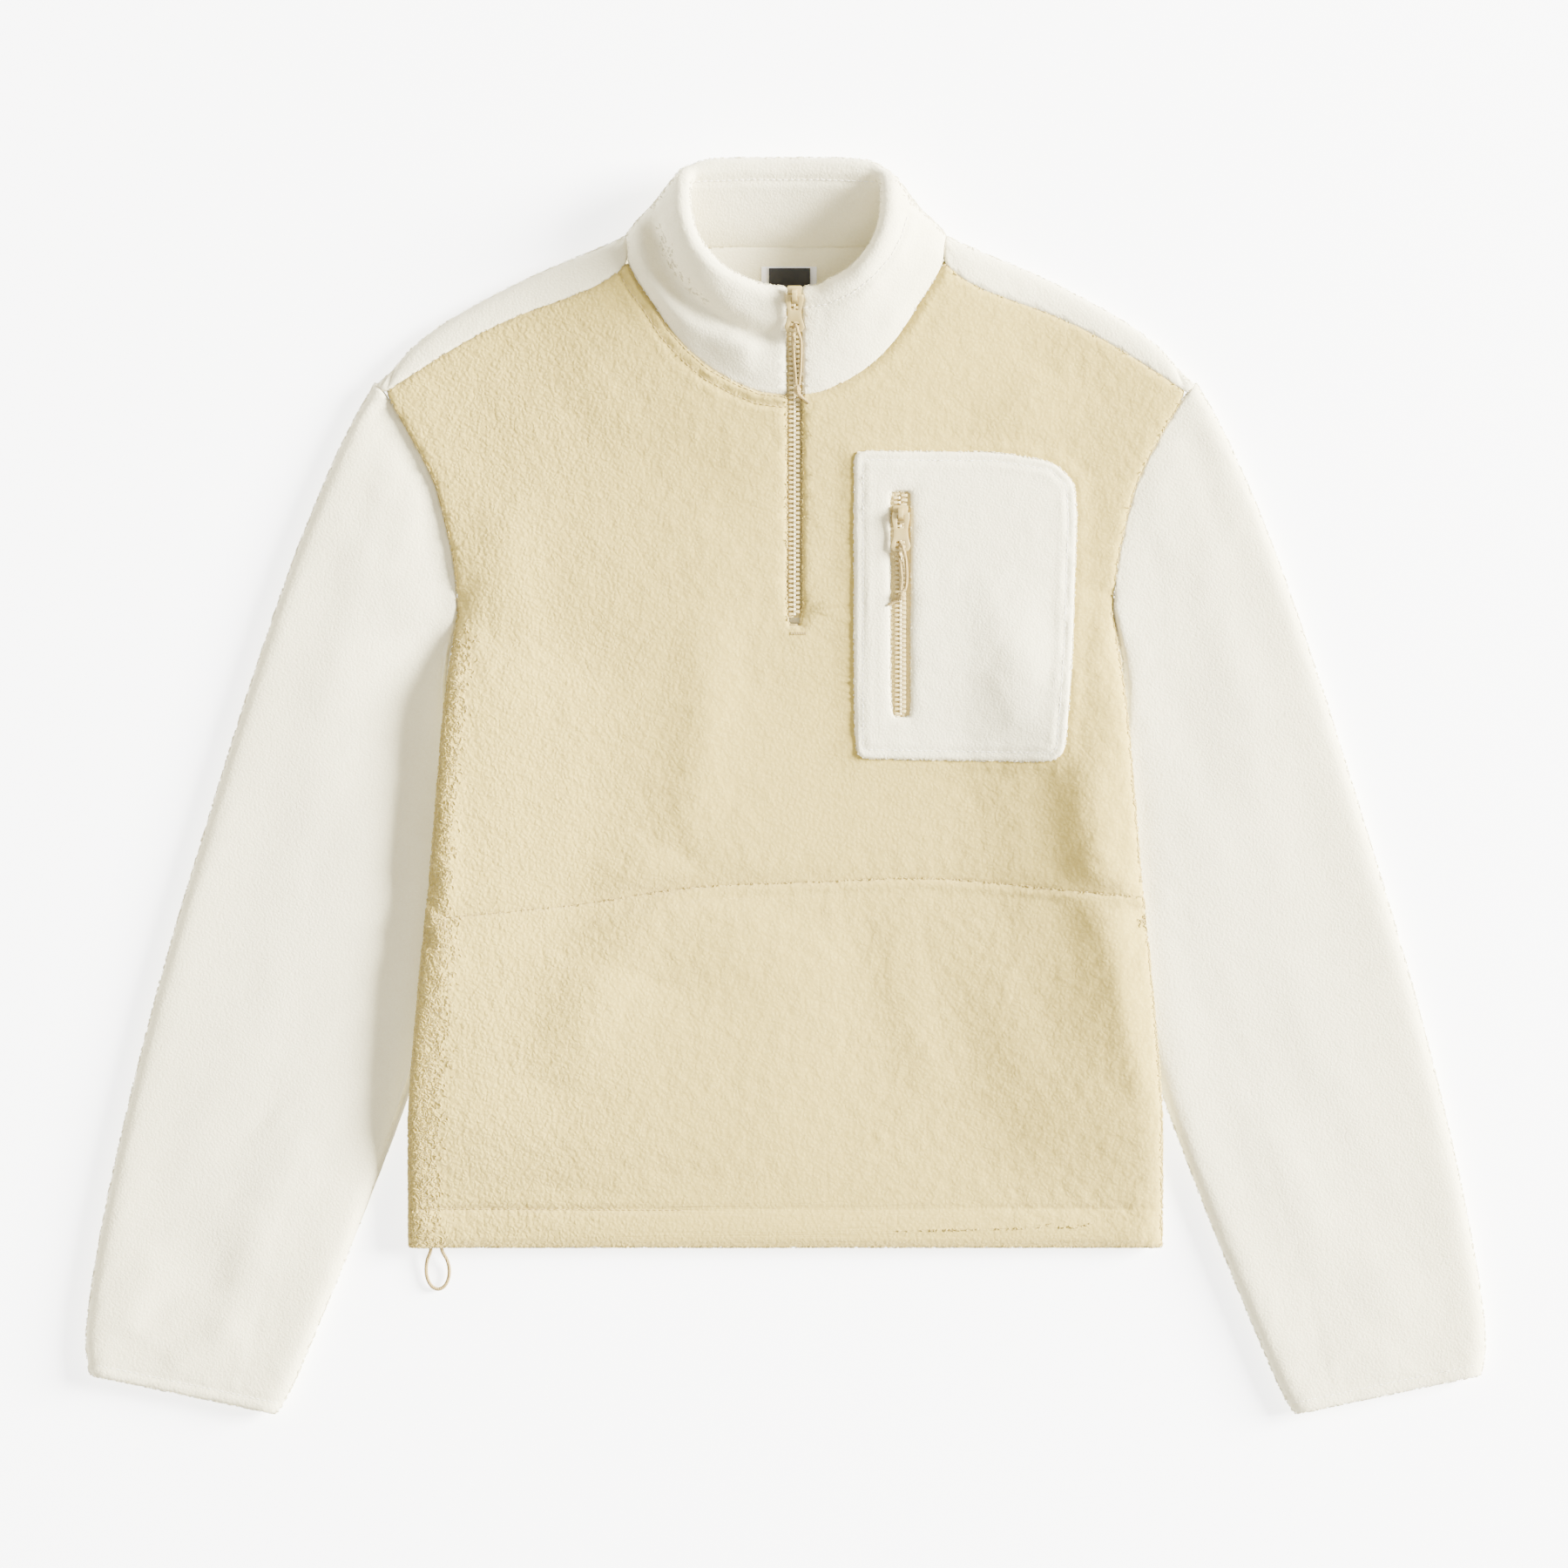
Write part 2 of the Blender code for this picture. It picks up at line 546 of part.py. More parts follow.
def cloth_panel(name, loops, place, look, spacing=PANEL_STEP, rows=()):
    """A wall of cloth: a plan bounded by an outer loop and holes, placed in space by a function.

    place(s, t) gives the outer and the inner point. rows are extra lines of plan points.
    """
    points = []
    edges = []
    for loop in loops:
        first = len(points)
        points += loop
        edges += [(first + i, first + (i + 1) % len(loop)) for i in range(len(loop))]
    for row in rows:
        first = len(points)
        points += row
        edges += [(first + i, first + i + 1) for i in range(len(row) - 1) if math.dist(row[i], row[i + 1]) < ROW_BREAK]
    fixed = list(points)
    row_height = spacing * math.sqrt(3) / 2
    (low_i, low_j), (high_i, high_j) = [
        (int(pick(p[0] for p in loops[0]) / spacing) + pad, int(pick(p[1] for p in loops[0]) / row_height) + pad)
        for pick, pad in ((min, -1), (max, 1))]
    for j in range(low_j, high_j + 1):
        for i in range(low_i, high_i + 1):
            spot = ((i + 0.5 * (j % 2)) * spacing, j * row_height)
            if not inside(spot, loops[0]) or any(inside(spot, hole) for hole in loops[1:]):
                continue
            if min(math.dist(spot, p) for p in fixed) < POINT_SPACE * spacing:
                continue
            if min(distance_to(spot, loop) for loop in loops) < EDGE_SPACE * spacing:
                continue
            points.append(spot)
    plan, _, tris, _, _, _ = delaunay_2d_cdt([tuple(p) for p in points], edges, [], 0, 1e-4)
    plan = [(p[0], p[1]) for p in plan]
    kept = []
    for tri in tris:
        centre = (sum(plan[i][0] for i in tri) / 3, sum(plan[i][1] for i in tri) / 3)
        if inside(centre, loops[0]) and not any(inside(centre, hole) for hole in loops[1:]):
            kept.append(tuple(tri))
    placed = [place(*p) for p in plan]
    count = len(placed)
    verts = [pair[0] for pair in placed] + [pair[1] for pair in placed]
    faces = list(kept) + [tuple(i + count for i in reversed(tri)) for tri in kept]
    sides = {}
    for tri in kept:
        for a, b in zip(tri, tri[1:] + tri[:1]):
            sides[(a, b)] = True
    for a, b in sides:
        if (b, a) not in sides:
            faces.append((b, a, a + count, b + count))
    return finish_mesh(name, verts, faces, look)


def lofted(name, rings, closed, look):
    """A solid from sections of equal length; the first and last are capped unless the loft is closed."""
    size = len(rings[0])
    verts = [v for ring in rings for v in ring]
    faces = []
    spans = len(rings) if closed else len(rings) - 1
    for r in range(spans):
        a = r * size
        b = ((r + 1) % len(rings)) * size
        for i in range(size):
            j = (i + 1) % size
            faces.append((a + i, a + j, b + j, b + i))
    if not closed:
        faces.append(tuple(range(size)))
        faces.append(tuple(range(len(verts) - 1, len(verts) - size - 1, -1)))
    return finish_mesh(name, verts, faces, look)


# ---------------------------------------------------------------- plan outlines of the body

def mirrored(points):
    return [(-x, y) for x, y in points]


def side_points(low, high):
    """Plan points up the right side edge, past the roll's start by its arc."""
    count = math.ceil((high - low) / RIM_STEP)
    ys = [mix(low, high, i / count) for i in range(count + 1)]
    return [(side_edge(y) - ROLL_REACH + ROLL_ARC, y) for y in ys]


def armhole_points(low, high):
    """Plan points up the right armhole seam on the front, half a seam gap inside it."""
    count = math.ceil((high - low) / ARMHOLE_STEP)
    ys = [mix(low, high, i / count) for i in range(1, count + 1)]
    return [(side_edge(y) - ROLL_REACH + ROLL_ARC * (1.0 - 0.5 * SEAM_GAP / ROLL_REACH), y) for y in ys]


def across(y, low_x, high_x, spacing):
    """Plan x values over the flat of the body at y and down both side rolls, between two limits."""
    flat = side_edge(y) - ROLL_REACH
    rolls = [flat + ROLL_ARC * share for share in ROLL_SHARES]
    count = math.ceil(2 * flat / spacing)
    xs = [-x for x in reversed(rolls)] + [mix(-flat, flat, i / count) for i in range(1, count)] + rolls
    return [x for x in xs if low_x < x < high_x]


def roll_rows(low, high):
    """Lines of plan points along both side rolls and up the ramp inside them, where the height changes."""
    rows = []
    count = math.ceil((high - low) / RIM_STEP)
    offsets = [ROLL_ARC * share - ROLL_REACH for share in ROLL_SHARES] + list(RAMP_ROWS)
    for side in (-1, 1):
        for offset in offsets:
            row = []
            for i in range(count + 1):
                y = mix(low, high, i / count)
                if low + 1.0 < y < high - 1.0:
                    row.append((side * (side_edge(y) + offset), y))
            rows.append(row)
    return rows


def neck_shift(x):
    """The front neck's middle lies to one side of the garment's, and its sides do not."""
    return NECK_X * (1.0 - step((x - NECK_SHIFT_START) / NECK_SHIFT_REACH))


def neckline(side, offset):
    """The front's neck seam from the zip's slit out to the shoulder strip, moved away from the neck."""
    start = side * (ZIP_X - NECK_X) + ZIP_SLIT_HALF
    curve = through(NECKLINE)
    points = []
    for x in [start] + [x for x in NECK_STATIONS if x > start + 5.0]:
        slope = 0.0 if x == start else curve(x + 0.5) - curve(x - 0.5)
        length = math.hypot(1.0, slope)
        out = x + offset * slope / length
        points.append((side * out + neck_shift(x), curve(x) - offset / length))
    return points


def neck_over_fold(offset):
    """The back's neck edge in its own plan: over the shoulder's fold, then along the back of the neck."""
    points = []
    for turn in FOLD_TURNS:
        lean = math.sin(math.radians(turn))
        x = NECK_SIDE_X - (NECK_TURN_IN if turn < 90 else NECK_TURN_UNDER) * (1.0 - lean) + offset
        t = shoulder_y(x) - SHOULDER_REACH + SHOULDER_ARC * turn / 180
        if turn == 0:
            t = BACK_NECK_Y - offset
            x -= offset
        points.append((x, t))
    points += [(x, BACK_NECK_Y - offset) for x in BACK_NECK_STATIONS]
    return points


def forward_seam(offset):
    """The seam between the shoulder strip and the front, from the neck outwards."""
    return [(x, forward_seam_y(x) + offset) for x in FORWARD_STATIONS]


def shoulder_tip(x, over):
    """The back's plan point where its edge at x crosses the armhole, under or over the shoulder's fold."""
    y = min(y for y in np.linspace(200, 250, 501) if armhole_x(y) >= x)
    start = shoulder_y(x) - SHOULDER_REACH
    turn = math.asin(min(max((y - start) / SHOULDER_REACH, 0.0), 1.0))
    turn = math.pi - turn if over else turn
    return x, start + SHOULDER_ARC * turn / math.pi


def build_back():
    """The back, in one piece with the strips that come forward over both shoulders."""
    half_gap = 0.5 * SEAM_GAP
    right = side_points(HEM_Y, UNDERARM_Y)
    right += armhole_points(UNDERARM_Y, ARMHOLE_TOP_BACK)
    right += [shoulder_tip(x, False) for x in TIP_STATIONS_UNDER]
    right += [shoulder_tip(x, True) for x in TIP_STATIONS_OVER]
    for x, y in reversed(forward_seam(half_gap)):
        start = shoulder_y(x) - SHOULDER_REACH
        right.append((x, start + SHOULDER_ARC + (start - y)))
    right += neck_over_fold(half_gap)[1:]
    loop = right + [(0.0, BACK_NECK_Y - half_gap)] + mirrored(right)[::-1]
    end = right[0][0]
    loop += [(x, HEM_Y) for x in across(HEM_Y, -end, end, BACK_STEP)]
    rows = roll_rows(HEM_Y, UNDERARM_Y + ROLL_REACH)
    for side in (-1, 1):
        for turn in SHOULDER_TURNS:
            row = []
            for x in SHOULDER_STATIONS:
                row.append((side * x, shoulder_y(x) - SHOULDER_REACH + SHOULDER_ARC * turn / 180))
            rows.append(row)
    return cloth_panel("back", [loop], place_back, CREAM, spacing=BACK_STEP, rows=rows)


def seam_end():
    """How far out the cross seam runs in the front's own plan."""
    return side_edge(cross_seam_y(BODY_HALF_WIDTH[3][1])) - ROLL_REACH + ROLL_ARC


def seam_points(offset):
    """The cross seam from left to right, over the flat of the front and down both side rolls."""
    end = seam_end()
    return [(x, cross_seam_y(x) + offset) for x in across(cross_seam_y(end), -end, end, HEM_STEP)]


def build_front_upper():
    """The upper front, slit down its middle for the zip."""
    half_gap = 0.5 * SEAM_GAP
    seam_x = seam_end()
    right = side_points(cross_seam_y(seam_x) + half_gap, UNDERARM_Y)
    right += armhole_points(UNDERARM_Y, ARMHOLE_TOP_FRONT)
    right += list(reversed(forward_seam(-half_gap)))
    right_neck = neckline(1, half_gap)[::-1]
    left_neck = neckline(-1, half_gap)
    slit = [right_neck[-1], (ZIP_X + ZIP_SLIT_HALF, ZIP_LOW_Y + SLIT_TAPER), (ZIP_X + SLIT_END_HALF, ZIP_LOW_Y),
            (ZIP_X - SLIT_END_HALF, ZIP_LOW_Y), (ZIP_X - ZIP_SLIT_HALF, ZIP_LOW_Y + SLIT_TAPER), left_neck[0]]
    left = [(-x, y) for x, y in side_points(cross_seam_y(-seam_x) + half_gap, UNDERARM_Y)]
    left += mirrored(armhole_points(UNDERARM_Y, ARMHOLE_TOP_FRONT))
    left += mirrored(list(reversed(forward_seam(-half_gap))))
    seam = seam_points(half_gap)
    loop = seam + right + right_neck[1:-1] + evenly(slit, RIM_STEP) + left_neck[1:-1] + left[::-1]
    rows = roll_rows(max(cross_seam_y(seam_x), cross_seam_y(-seam_x)) + ROW_SPACE, UNDERARM_Y + ROLL_REACH)
    rows = [[p for p in row if p[0] < 0 or p[0] > POCKET_CLEAR_X] for row in rows]
    rows = [row for row in rows if row] + [loop + loop[:1] for loop in pocket_loops()]
    return cloth_panel("front_upper", [loop], place_front, TAN, rows=rows)


def build_front_lower():
    """The lower front, with the hem's channel turned up along its bottom."""
    half_gap = 0.5 * SEAM_GAP
    seam_x = seam_end()
    right = side_points(HEM_Y, cross_seam_y(seam_x) - half_gap)
    left = [(-x, y) for x, y in side_points(HEM_Y, cross_seam_y(-seam_x) - half_gap)]
    end = right[0][0]
    hem = [(x, HEM_Y) for x in across(HEM_Y, -end, end, HEM_STEP)]
    loop = right + seam_points(-half_gap)[::-1] + left[::-1] + hem
    rows = roll_rows(HEM_Y, min(cross_seam_y(seam_x), cross_seam_y(-seam_x)) - ROW_SPACE)
    reach = side_edge(HEM_Y) - 2 * ROLL_REACH
    for above in HEM_ROWS:
        rows.append(evenly([(-reach, HEM_Y + above), (reach, HEM_Y + above)], HEM_STEP))
    return cloth_panel("front_lower", [loop], place_front, TAN, rows=rows)


# ---------------------------------------------------------------- sleeves

ARMHOLE_TRACK = np.array([(armhole_x(y), y) for y in np.linspace(ARMHOLE[-1][0], ARMHOLE[0][0], 80)])
ARMHOLE_MARKS = np.concatenate(([0.0], np.cumsum(np.linalg.norm(np.diff(ARMHOLE_TRACK, axis=0), axis=1))))


def armhole_at(share):
    """A plan point down the right armhole seam, from the shoulder's fold to the underarm."""
    place = share * ARMHOLE_MARKS[-1]
    return np.array([np.interp(place, ARMHOLE_MARKS, ARMHOLE_TRACK[:, k]) for k in range(2)])


def sleeve_section(v, side):
    """One ring round a flattened sleeve at a share v of its length: outer points, then inner points."""
    outer_edge = np.array(smooth_path(SLEEVE_OUTER, v))
    inner_edge = np.array(smooth_path(SLEEVE_INNER, v))
    bow = max(1.0 - v / SLEEVE_BOW_END, 0.0) ** 2
    chord_a, chord_b = armhole_at(0.0), armhole_at(1.0)
    width = float(np.linalg.norm(inner_edge - outer_edge))
    reach = mix(ARMHOLE_ROLL_REACH, SLEEVE_ROLL_REACH, min(v / SLEEVE_REACH_END, 1.0))

    def plan(share):
        spot = outer_edge + (inner_edge - outer_edge) * share
        spot = spot + bow * (armhole_at(share) - (chord_a + (chord_b - chord_a) * share))
        return spot + np.array([SLEEVE_SHIFT * max(1.0 - v / SLEEVE_FOLD_END, 0.0), 0.0])

    def height(x, y, share):
        edge = min(share, 1.0 - share) * width
        own = step((edge - reach) / SLEEVE_EDGE_BLEND) * min(v / SLEEVE_HEIGHT_END, 1.0)
        top = mix(SLEEVE_EDGE_TOP, SLEEVE_MIDDLE, own)
        folds = SLEEVE_FOLDS + ((LEFT_SLEEVE_CREASE,) if side > 0 else (mirror_fold(RIGHT_SLEEVE_FLAP),))
        top += fold_height(folds, x, y) * step((edge - reach) / SLEEVE_FOLD_EDGE) * min(v / SLEEVE_FOLD_END, 1.0)
        if y < UNDERARM_Y and x < body_half(y) + UNDER_BODY_REACH:
            top = min(top, LIFT - UNDER_BODY_SPACE)
        if v == 0.0:
            top = upper(x - SLEEVE_SHIFT, y)
        return top

    outer_ring = []
    inner_ring = []

    def add(share_of_roll, near_inner, up):
        """A point on an edge roll, from its start (0) to the very edge (1)."""
        turn = share_of_roll * math.pi / 2
        for ring, wall in ((outer_ring, 0.0), (inner_ring, SLEEVE_WALL)):
            from_edge = reach - (reach - wall) * math.sin(turn)
            share = from_edge / width
            share = 1.0 - share if near_inner else share
            x, y = plan(share)
            flat_share = reach / width
            flat_share = 1.0 - flat_share if near_inner else flat_share
            top = height(*plan(flat_share), flat_share)
            middle = BACK_ROLL + 0.5 * SEAM_GAP
            if up:
                z = middle + (top - wall - middle) * math.cos(turn)
            else:
                z = middle - (middle - wall) * math.cos(turn)
            ring.append((side * x, y, z))

    def flats(up, shares):
        for share in shares:
            at = mix(reach / width, 1.0 - reach / width, share)
            x, y = plan(at)
            top = height(x, y, at)
            if up:
                outer_ring.append((side * x, y, top))
                inner_ring.append((side * x, y, top - SLEEVE_WALL))
            else:
                outer_ring.append((side * x, y, 0.0))
                inner_ring.append((side * x, y, SLEEVE_WALL))

    add(1.0, False, True)
    for share in reversed(UPPER_ROLL_SHARES):
        add(share, False, True)
    flats(True, [i / UPPER_STEPS for i in range(UPPER_STEPS + 1)])
    for share in UPPER_ROLL_SHARES + (1.0,):
        add(share, True, True)
    add(UNDER_ROLL_SHARE, True, False)
    flats(False, UNDER_SHARES)
    add(UNDER_ROLL_SHARE, False, False)
    return outer_ring, inner_ring


def mirror_fold(fold):
    return fold._replace(x0=-fold.x0, x1=-fold.x1)


UPPER_ROLL_SHARES = (0.34, 0.68)
UPPER_STEPS = 7
UNDER_ROLL_SHARE = 0.6
UNDER_SHARES = (1.0, 0.66, 0.33, 0.0)
SLEEVE_SHARES = (0.0, 0.014, 0.035, 0.06, 0.09, 0.125, 0.165, 0.21, 0.26, 0.31, 0.36, 0.41, 0.46, 0.51, 0.56,
                 0.61, 0.66, 0.71, 0.76, 0.81, 0.86, 0.9, 0.94, 0.968, 0.986, 1.0)


def build_sleeve(name, side):
    """A flattened tube of cloth from the armhole seam to the cuff, open at both ends."""
    rings = [sleeve_section(v, side) for v in SLEEVE_SHARES]
    size = len(rings[0][0])
    verts = [p for outer, inner in rings for p in outer + inner]
    faces = []
    for r in range(len(rings) - 1):
        for part in (0, size):
            a = r * 2 * size + part
            b = a + 2 * size
            for i in range(size):
                j = (i + 1) % size
                quad = (a + i, a + j, b + j, b + i)
                faces.append(quad if part == 0 else quad[::-1])
    for a in (0, (len(rings) - 1) * 2 * size):
        for i in range(size):
            j = (i + 1) % size
            quad = (a + i, a + size + i, a + size + j, a + j)
            faces.append(quad if a == 0 else quad[::-1])
    return finish_mesh(name, verts, faces, CREAM)


# ---------------------------------------------------------------- collar

def neck_ring(side):
    """Half the neck seam, from the zip round to the middle of the back, as outer and inner points."""
    half_gap = 0.5 * SEAM_GAP
    ring = [place_front(x, y) for x, y in neckline(side, -half_gap)]
    ring += [place_back(side * x, t) for x, t in neck_over_fold(-half_gap)]
    ring.append(place_back(0.0, BACK_NECK_Y + half_gap))
    return np.array([outer for outer, _ in ring]), np.array([inner for _, inner in ring])


def collar_half(side):
    """Sections of half the collar, from the zip to the middle of the back, as closed loops of points."""
    outer_seam, inner_seam = neck_ring(side)
    foot_line = 0.5 * (outer_seam + inner_seam)
    steps = np.linalg.norm(np.diff(foot_line, axis=0), axis=1)
    shares = np.concatenate(([0.0], np.cumsum(steps))) / steps.sum()
    rim_axes = [through([(row.share, row[k]) for row in COLLAR_RIM]) for k in (1, 2, 3)]
    end_x = ZIP_X + side * ZIP_SLIT_HALF

    def rim(share):
        x = side * rim_axes[0](share) + NECK_X * (1.0 - step(share * RIM_SHIFT_RATE))
        x += (end_x - NECK_X) * (1.0 - step(share / COLLAR_FRONT_BLEND))
        return np.array((x, rim_axes[1](share), rim_axes[2](share)))

    def middle(share, up):
        """The middle of the band, from the neck seam (0) up to the rim (1)."""
        foot = smooth_path(foot_line, share)
        top = rim(share)
        control = mix(foot, top, COLLAR_BOW)
        control[2] -= COLLAR_SAG * (1.0 - SAG_TURN * step((share - COLLAR_SIDE_START) / COLLAR_SIDE_BLEND))
        return foot * (1 - up) ** 2 + control * 2 * up * (1 - up) + top * up * up

    return [collar_section(outer_seam[i], inner_seam[i], middle, share, side) for i, share in enumerate(shares)]


def collar_section(outer, inner, middle, share, side):
    """One closed loop: up the band's outer face, round the rolled rim and down its inner face."""
    low_share, high_share = max(share - NUDGE, 0.0), min(share + NUDGE, 1.0)
    facing = outer - inner
    outer_side = [outer]
    inner_side = [inner]
    for up in COLLAR_ROWS + (1.0,):
        point = middle(share, up)
        across = middle(high_share, up) - middle(low_share, up)
        if low_share == 0.0 or high_share == 1.0:
            across = np.array((1.0, 0.0, 0.0))
        rise = middle(share, up) - middle(share, up - NUDGE)
        normal = np.cross(across, rise)
        normal *= math.copysign(1.0, np.dot(normal, facing)) / np.linalg.norm(normal)
        facing = normal
        if up == 1.0:
            break
        half_wall = mix(COLLAR_HALF_WALL, RIM_HALF_WALL, step((up - COLLAR_RIM_START) / COLLAR_RIM_BLEND))
        half_wall = mix(0.5 * BACK_WALL, half_wall, step(up / COLLAR_FOOT_END))
        if side < 0:
            trough_up = COLLAR_TROUGH_UP + COLLAR_TROUGH_LEAN * (share - COLLAR_TROUGH_MIDDLE)
            dent = COLLAR_TROUGH * math.exp(-((up - trough_up) / COLLAR_TROUGH_WIDTH) ** 2)
            dent *= step((share - COLLAR_TROUGH_START) / COLLAR_TROUGH_FADE)
            dent *= step((COLLAR_TROUGH_END - share) / COLLAR_TROUGH_FADE)
            point = point - normal * dent
        outer_side.append(point + normal * half_wall)
        inner_side.append(point - normal * half_wall)
    rise /= np.linalg.norm(rise)
    rim_loop = []
    for k in range(RIM_TURNS + 1):
        turn = math.pi * k / RIM_TURNS
        rim_loop.append(point + RIM_HALF_WALL * (normal * math.cos(turn) + rise * math.sin(turn)))
    return [tuple(p) for p in outer_side + rim_loop + inner_side[::-1]]


def build_collar():
    """A doubled stand-up band round the neck, its rim rolled, open at the zip."""
    sections = collar_half(-1) + collar_half(1)[-2::-1]
    return lofted("collar", sections, False, CREAM)


# ---------------------------------------------------------------- chest pocket

def pocket_loops():
    """The chest pocket's plan outline, and the window that its zip lies in."""
    low_x, low_y, high_x, high_y = POCKET_ZIP
    window = [(low_x, low_y), (low_x, high_y), (high_x, high_y), (high_x, low_y), (low_x, low_y)]
    return [evenly(list(POCKET) + [POCKET[0]], POCKET_STEP)[:-1], evenly(window, POCKET_STEP)[:-1]]


def place_pocket(s, t):
    """The pocket's wall: the front's own points moved out, thinner along its sewn edge."""
    base = upper(s, t) - front_dip(s, t) + POCKET_GAP
    edge = distance_to((s, t), POCKET)
    top = base + POCKET_WALL - POCKET_EDGE_DROP * max(1.0 - edge / POCKET_EDGE_REACH, 0.0)
    return (s, t, top), (s, t, base)


def build_pocket():
    outline, window = pocket_loops()
    return cloth_panel("chest_pocket", [outline, window], place_pocket, CREAM)


# ---------------------------------------------------------------- zips

def zip_line():
    """The front zip's path up the middle of the front and the collar: y and the cloth's outer height."""
    section = collar_half(1)[0]
    count = math.ceil((NECKLINE[0][1] - ZIP_STOP_Y) / ZIP_STEP)
    line = []
    for i in range(count):
        y = mix(ZIP_STOP_Y, NECKLINE[0][1], i / count)
        line.append((y, upper(ZIP_X, y)))
    line += [(p[1], p[2]) for p in section[:len(COLLAR_ROWS) + 3]]
    return line


def pocket_zip_line():
    """The pocket zip's path up its window: y and the height of the front under it."""
    low_y, high_y = POCKET_ZIP[1] + SEAM_GAP, POCKET_ZIP[3] - SEAM_GAP
    count = math.ceil((high_y - low_y) / POCKET_STEP)
    ys = [mix(low_y, high_y, i / count) for i in range(count + 1)]
    return [(y, upper(POCKET_ZIP_X, y) + POCKET_GAP) for y in ys]


def ribbon(name, line, x, half_width, low, high, look):
    """A strip along a line of y and height, from low to high above it."""
    pts = np.array(line)
    slopes = np.gradient(pts, axis=0)
    sections = []
    for (y, z), (dy, dz) in zip(pts, slopes):
        length = math.hypot(dy, dz)
        across = np.array((-dz, dy)) / length
        (ya, za), (yb, zb) = (y, z) + across * low, (y, z) + across * high
        sections.append([(x - half_width, ya, za), (x + half_width, ya, za),
                         (x + half_width, yb, zb), (x - half_width, yb, zb)])
    return lofted(name, sections, False, look)


def build_zips():
    """Tapes and closed chains of teeth, each sunk between the cloth's edges."""
    line = zip_line()
    chain_low = -CHAIN_RECESS - CHAIN_HEIGHT
    tape_top = chain_low - SEAM_GAP
    ribbon("centre_zip_tape", line, ZIP_X, TAPE_HALF, tape_top - TAPE_WALL, tape_top, TAPE)
    ribbon("centre_zip_chain", line[:-1], ZIP_X, CHAIN_HALF, chain_low, -CHAIN_RECESS, TEETH)
    line = pocket_zip_line()
    half = (POCKET_ZIP[2] - POCKET_ZIP[0]) / 2 - SEAM_GAP
    ribbon("pocket_zip_tape", line, POCKET_ZIP_X, half, 0.0, TAPE_WALL, TAPE)
    chain = [(y, z + TAPE_WALL + SEAM_GAP) for y, z in line]
    ribbon("pocket_zip_chain", chain, POCKET_ZIP_X, POCKET_CHAIN_HALF, 0.0, POCKET_CHAIN_HEIGHT, TEETH)


# ---------------------------------------------------------------- sliders and pulls

def plate(name, loops, low, high, look):
    """A flat plate with holes, in its own X and Y."""
    return cloth_panel(name, loops, lambda s, t: ((s, t, high), (s, t, low)), look)


def rounded(corners, radius, steps=3):
    """A closed outline with each corner turned into an arc."""
    out = []
    count = len(corners)
    for i in range(count):
        before, corner, after = (np.array(corners[(i + k) % count], dtype=float) for k in (-1, 0, 1))
        to_a = (before - corner) / np.linalg.norm(before - corner)
        to_b = (after - corner) / np.linalg.norm(after - corner)
        half_angle = 0.5 * math.acos(float(np.clip(np.dot(to_a, to_b), -1.0, 1.0)))
        centre = corner + (to_a + to_b) / np.linalg.norm(to_a + to_b) * radius / math.sin(half_angle)
        start = corner + to_a * radius / math.tan(half_angle) - centre
        end = corner + to_b * radius / math.tan(half_angle) - centre
        for k in range(steps + 1):
            arm = mix(start, end, k / steps)
            out.append(tuple(centre + arm * radius / np.linalg.norm(arm)))
    return out


def circle(x, y, radius, count):
    return [(x + radius * math.cos(2 * math.pi * k / count), y + radius * math.sin(2 * math.pi * k / count))
            for k in range(count)]


def build_slider(name, x, y, z, slope):
    """A zip slider: a plate that narrows down the zip, and a bridge with a bore for the pull's bar."""
    half = SLIDER_LENGTH / 2
    top, low = SLIDER_TOP_WIDTH / 2, SLIDER_LOW_WIDTH / 2
    outline = rounded([(-low, -half), (low, -half), (top, half), (-top, half)], SLIDER_CORNER)
    body = plate(name, [outline], -SLIDER_HEIGHT, 0.0, ENAMEL)
    reach = BRIDGE_LENGTH / 2
    half_arch = [(reach - back, up) for back, up in BRIDGE_ARCH]
    arch = half_arch + [(-y, z) for y, z in reversed(half_arch)]
    bridge = cloth_panel(name + "_bridge", [arch, circle(0.0, PIN_HEIGHT, BORE_RADIUS, 12)],
                         lambda s, t: ((BRIDGE_HALF, s, t), (-BRIDGE_HALF, s, t)), ENAMEL)
    bridge.hide_render = True
    bridge.display_type = "WIRE"
    join = body.modifiers.new("bridge", "BOOLEAN")
    join.operation = "UNION"
    join.solver = "EXACT"
    join.object = bridge
    for obj in (body, bridge):
        obj.location = (x * MM, y * MM, z * MM)
        obj.rotation_euler = (slope, 0.0, 0.0)
    return body


def build_pull(name, x, y, z, slope):
    """An hourglass pull, its top bar through the slider's bridge, its origin on that bar's axis."""
    outline = list(PULL_SIDE) + mirrored(PULL_SIDE)[::-1]
    window = rounded(PULL_WINDOW, 0.4, 1)
    eye = rounded(PULL_EYE, 0.9, 2)
    obj = plate(name, [outline, window, eye], -PULL_WALL / 2, PULL_WALL / 2, ENAMEL)
    obj.location = (x * MM, y * MM, z * MM)
    obj.rotation_euler = (slope + math.radians(PULL_DROOP), 0.0, 0.0)


def line_at(line, y):
    """Height and slope at y of the straight piece of a zip's line that leads up to a slider there."""
    ys = [p[0] for p in line]
    zs = [p[1] for p in line]
    near, far = (float(np.interp(y - back, ys, zs)) for back in LINE_PIECE)
    run = LINE_PIECE[1] - LINE_PIECE[0]
    return near + LINE_PIECE[0] * (near - far) / run, math.atan2(near - far, run)


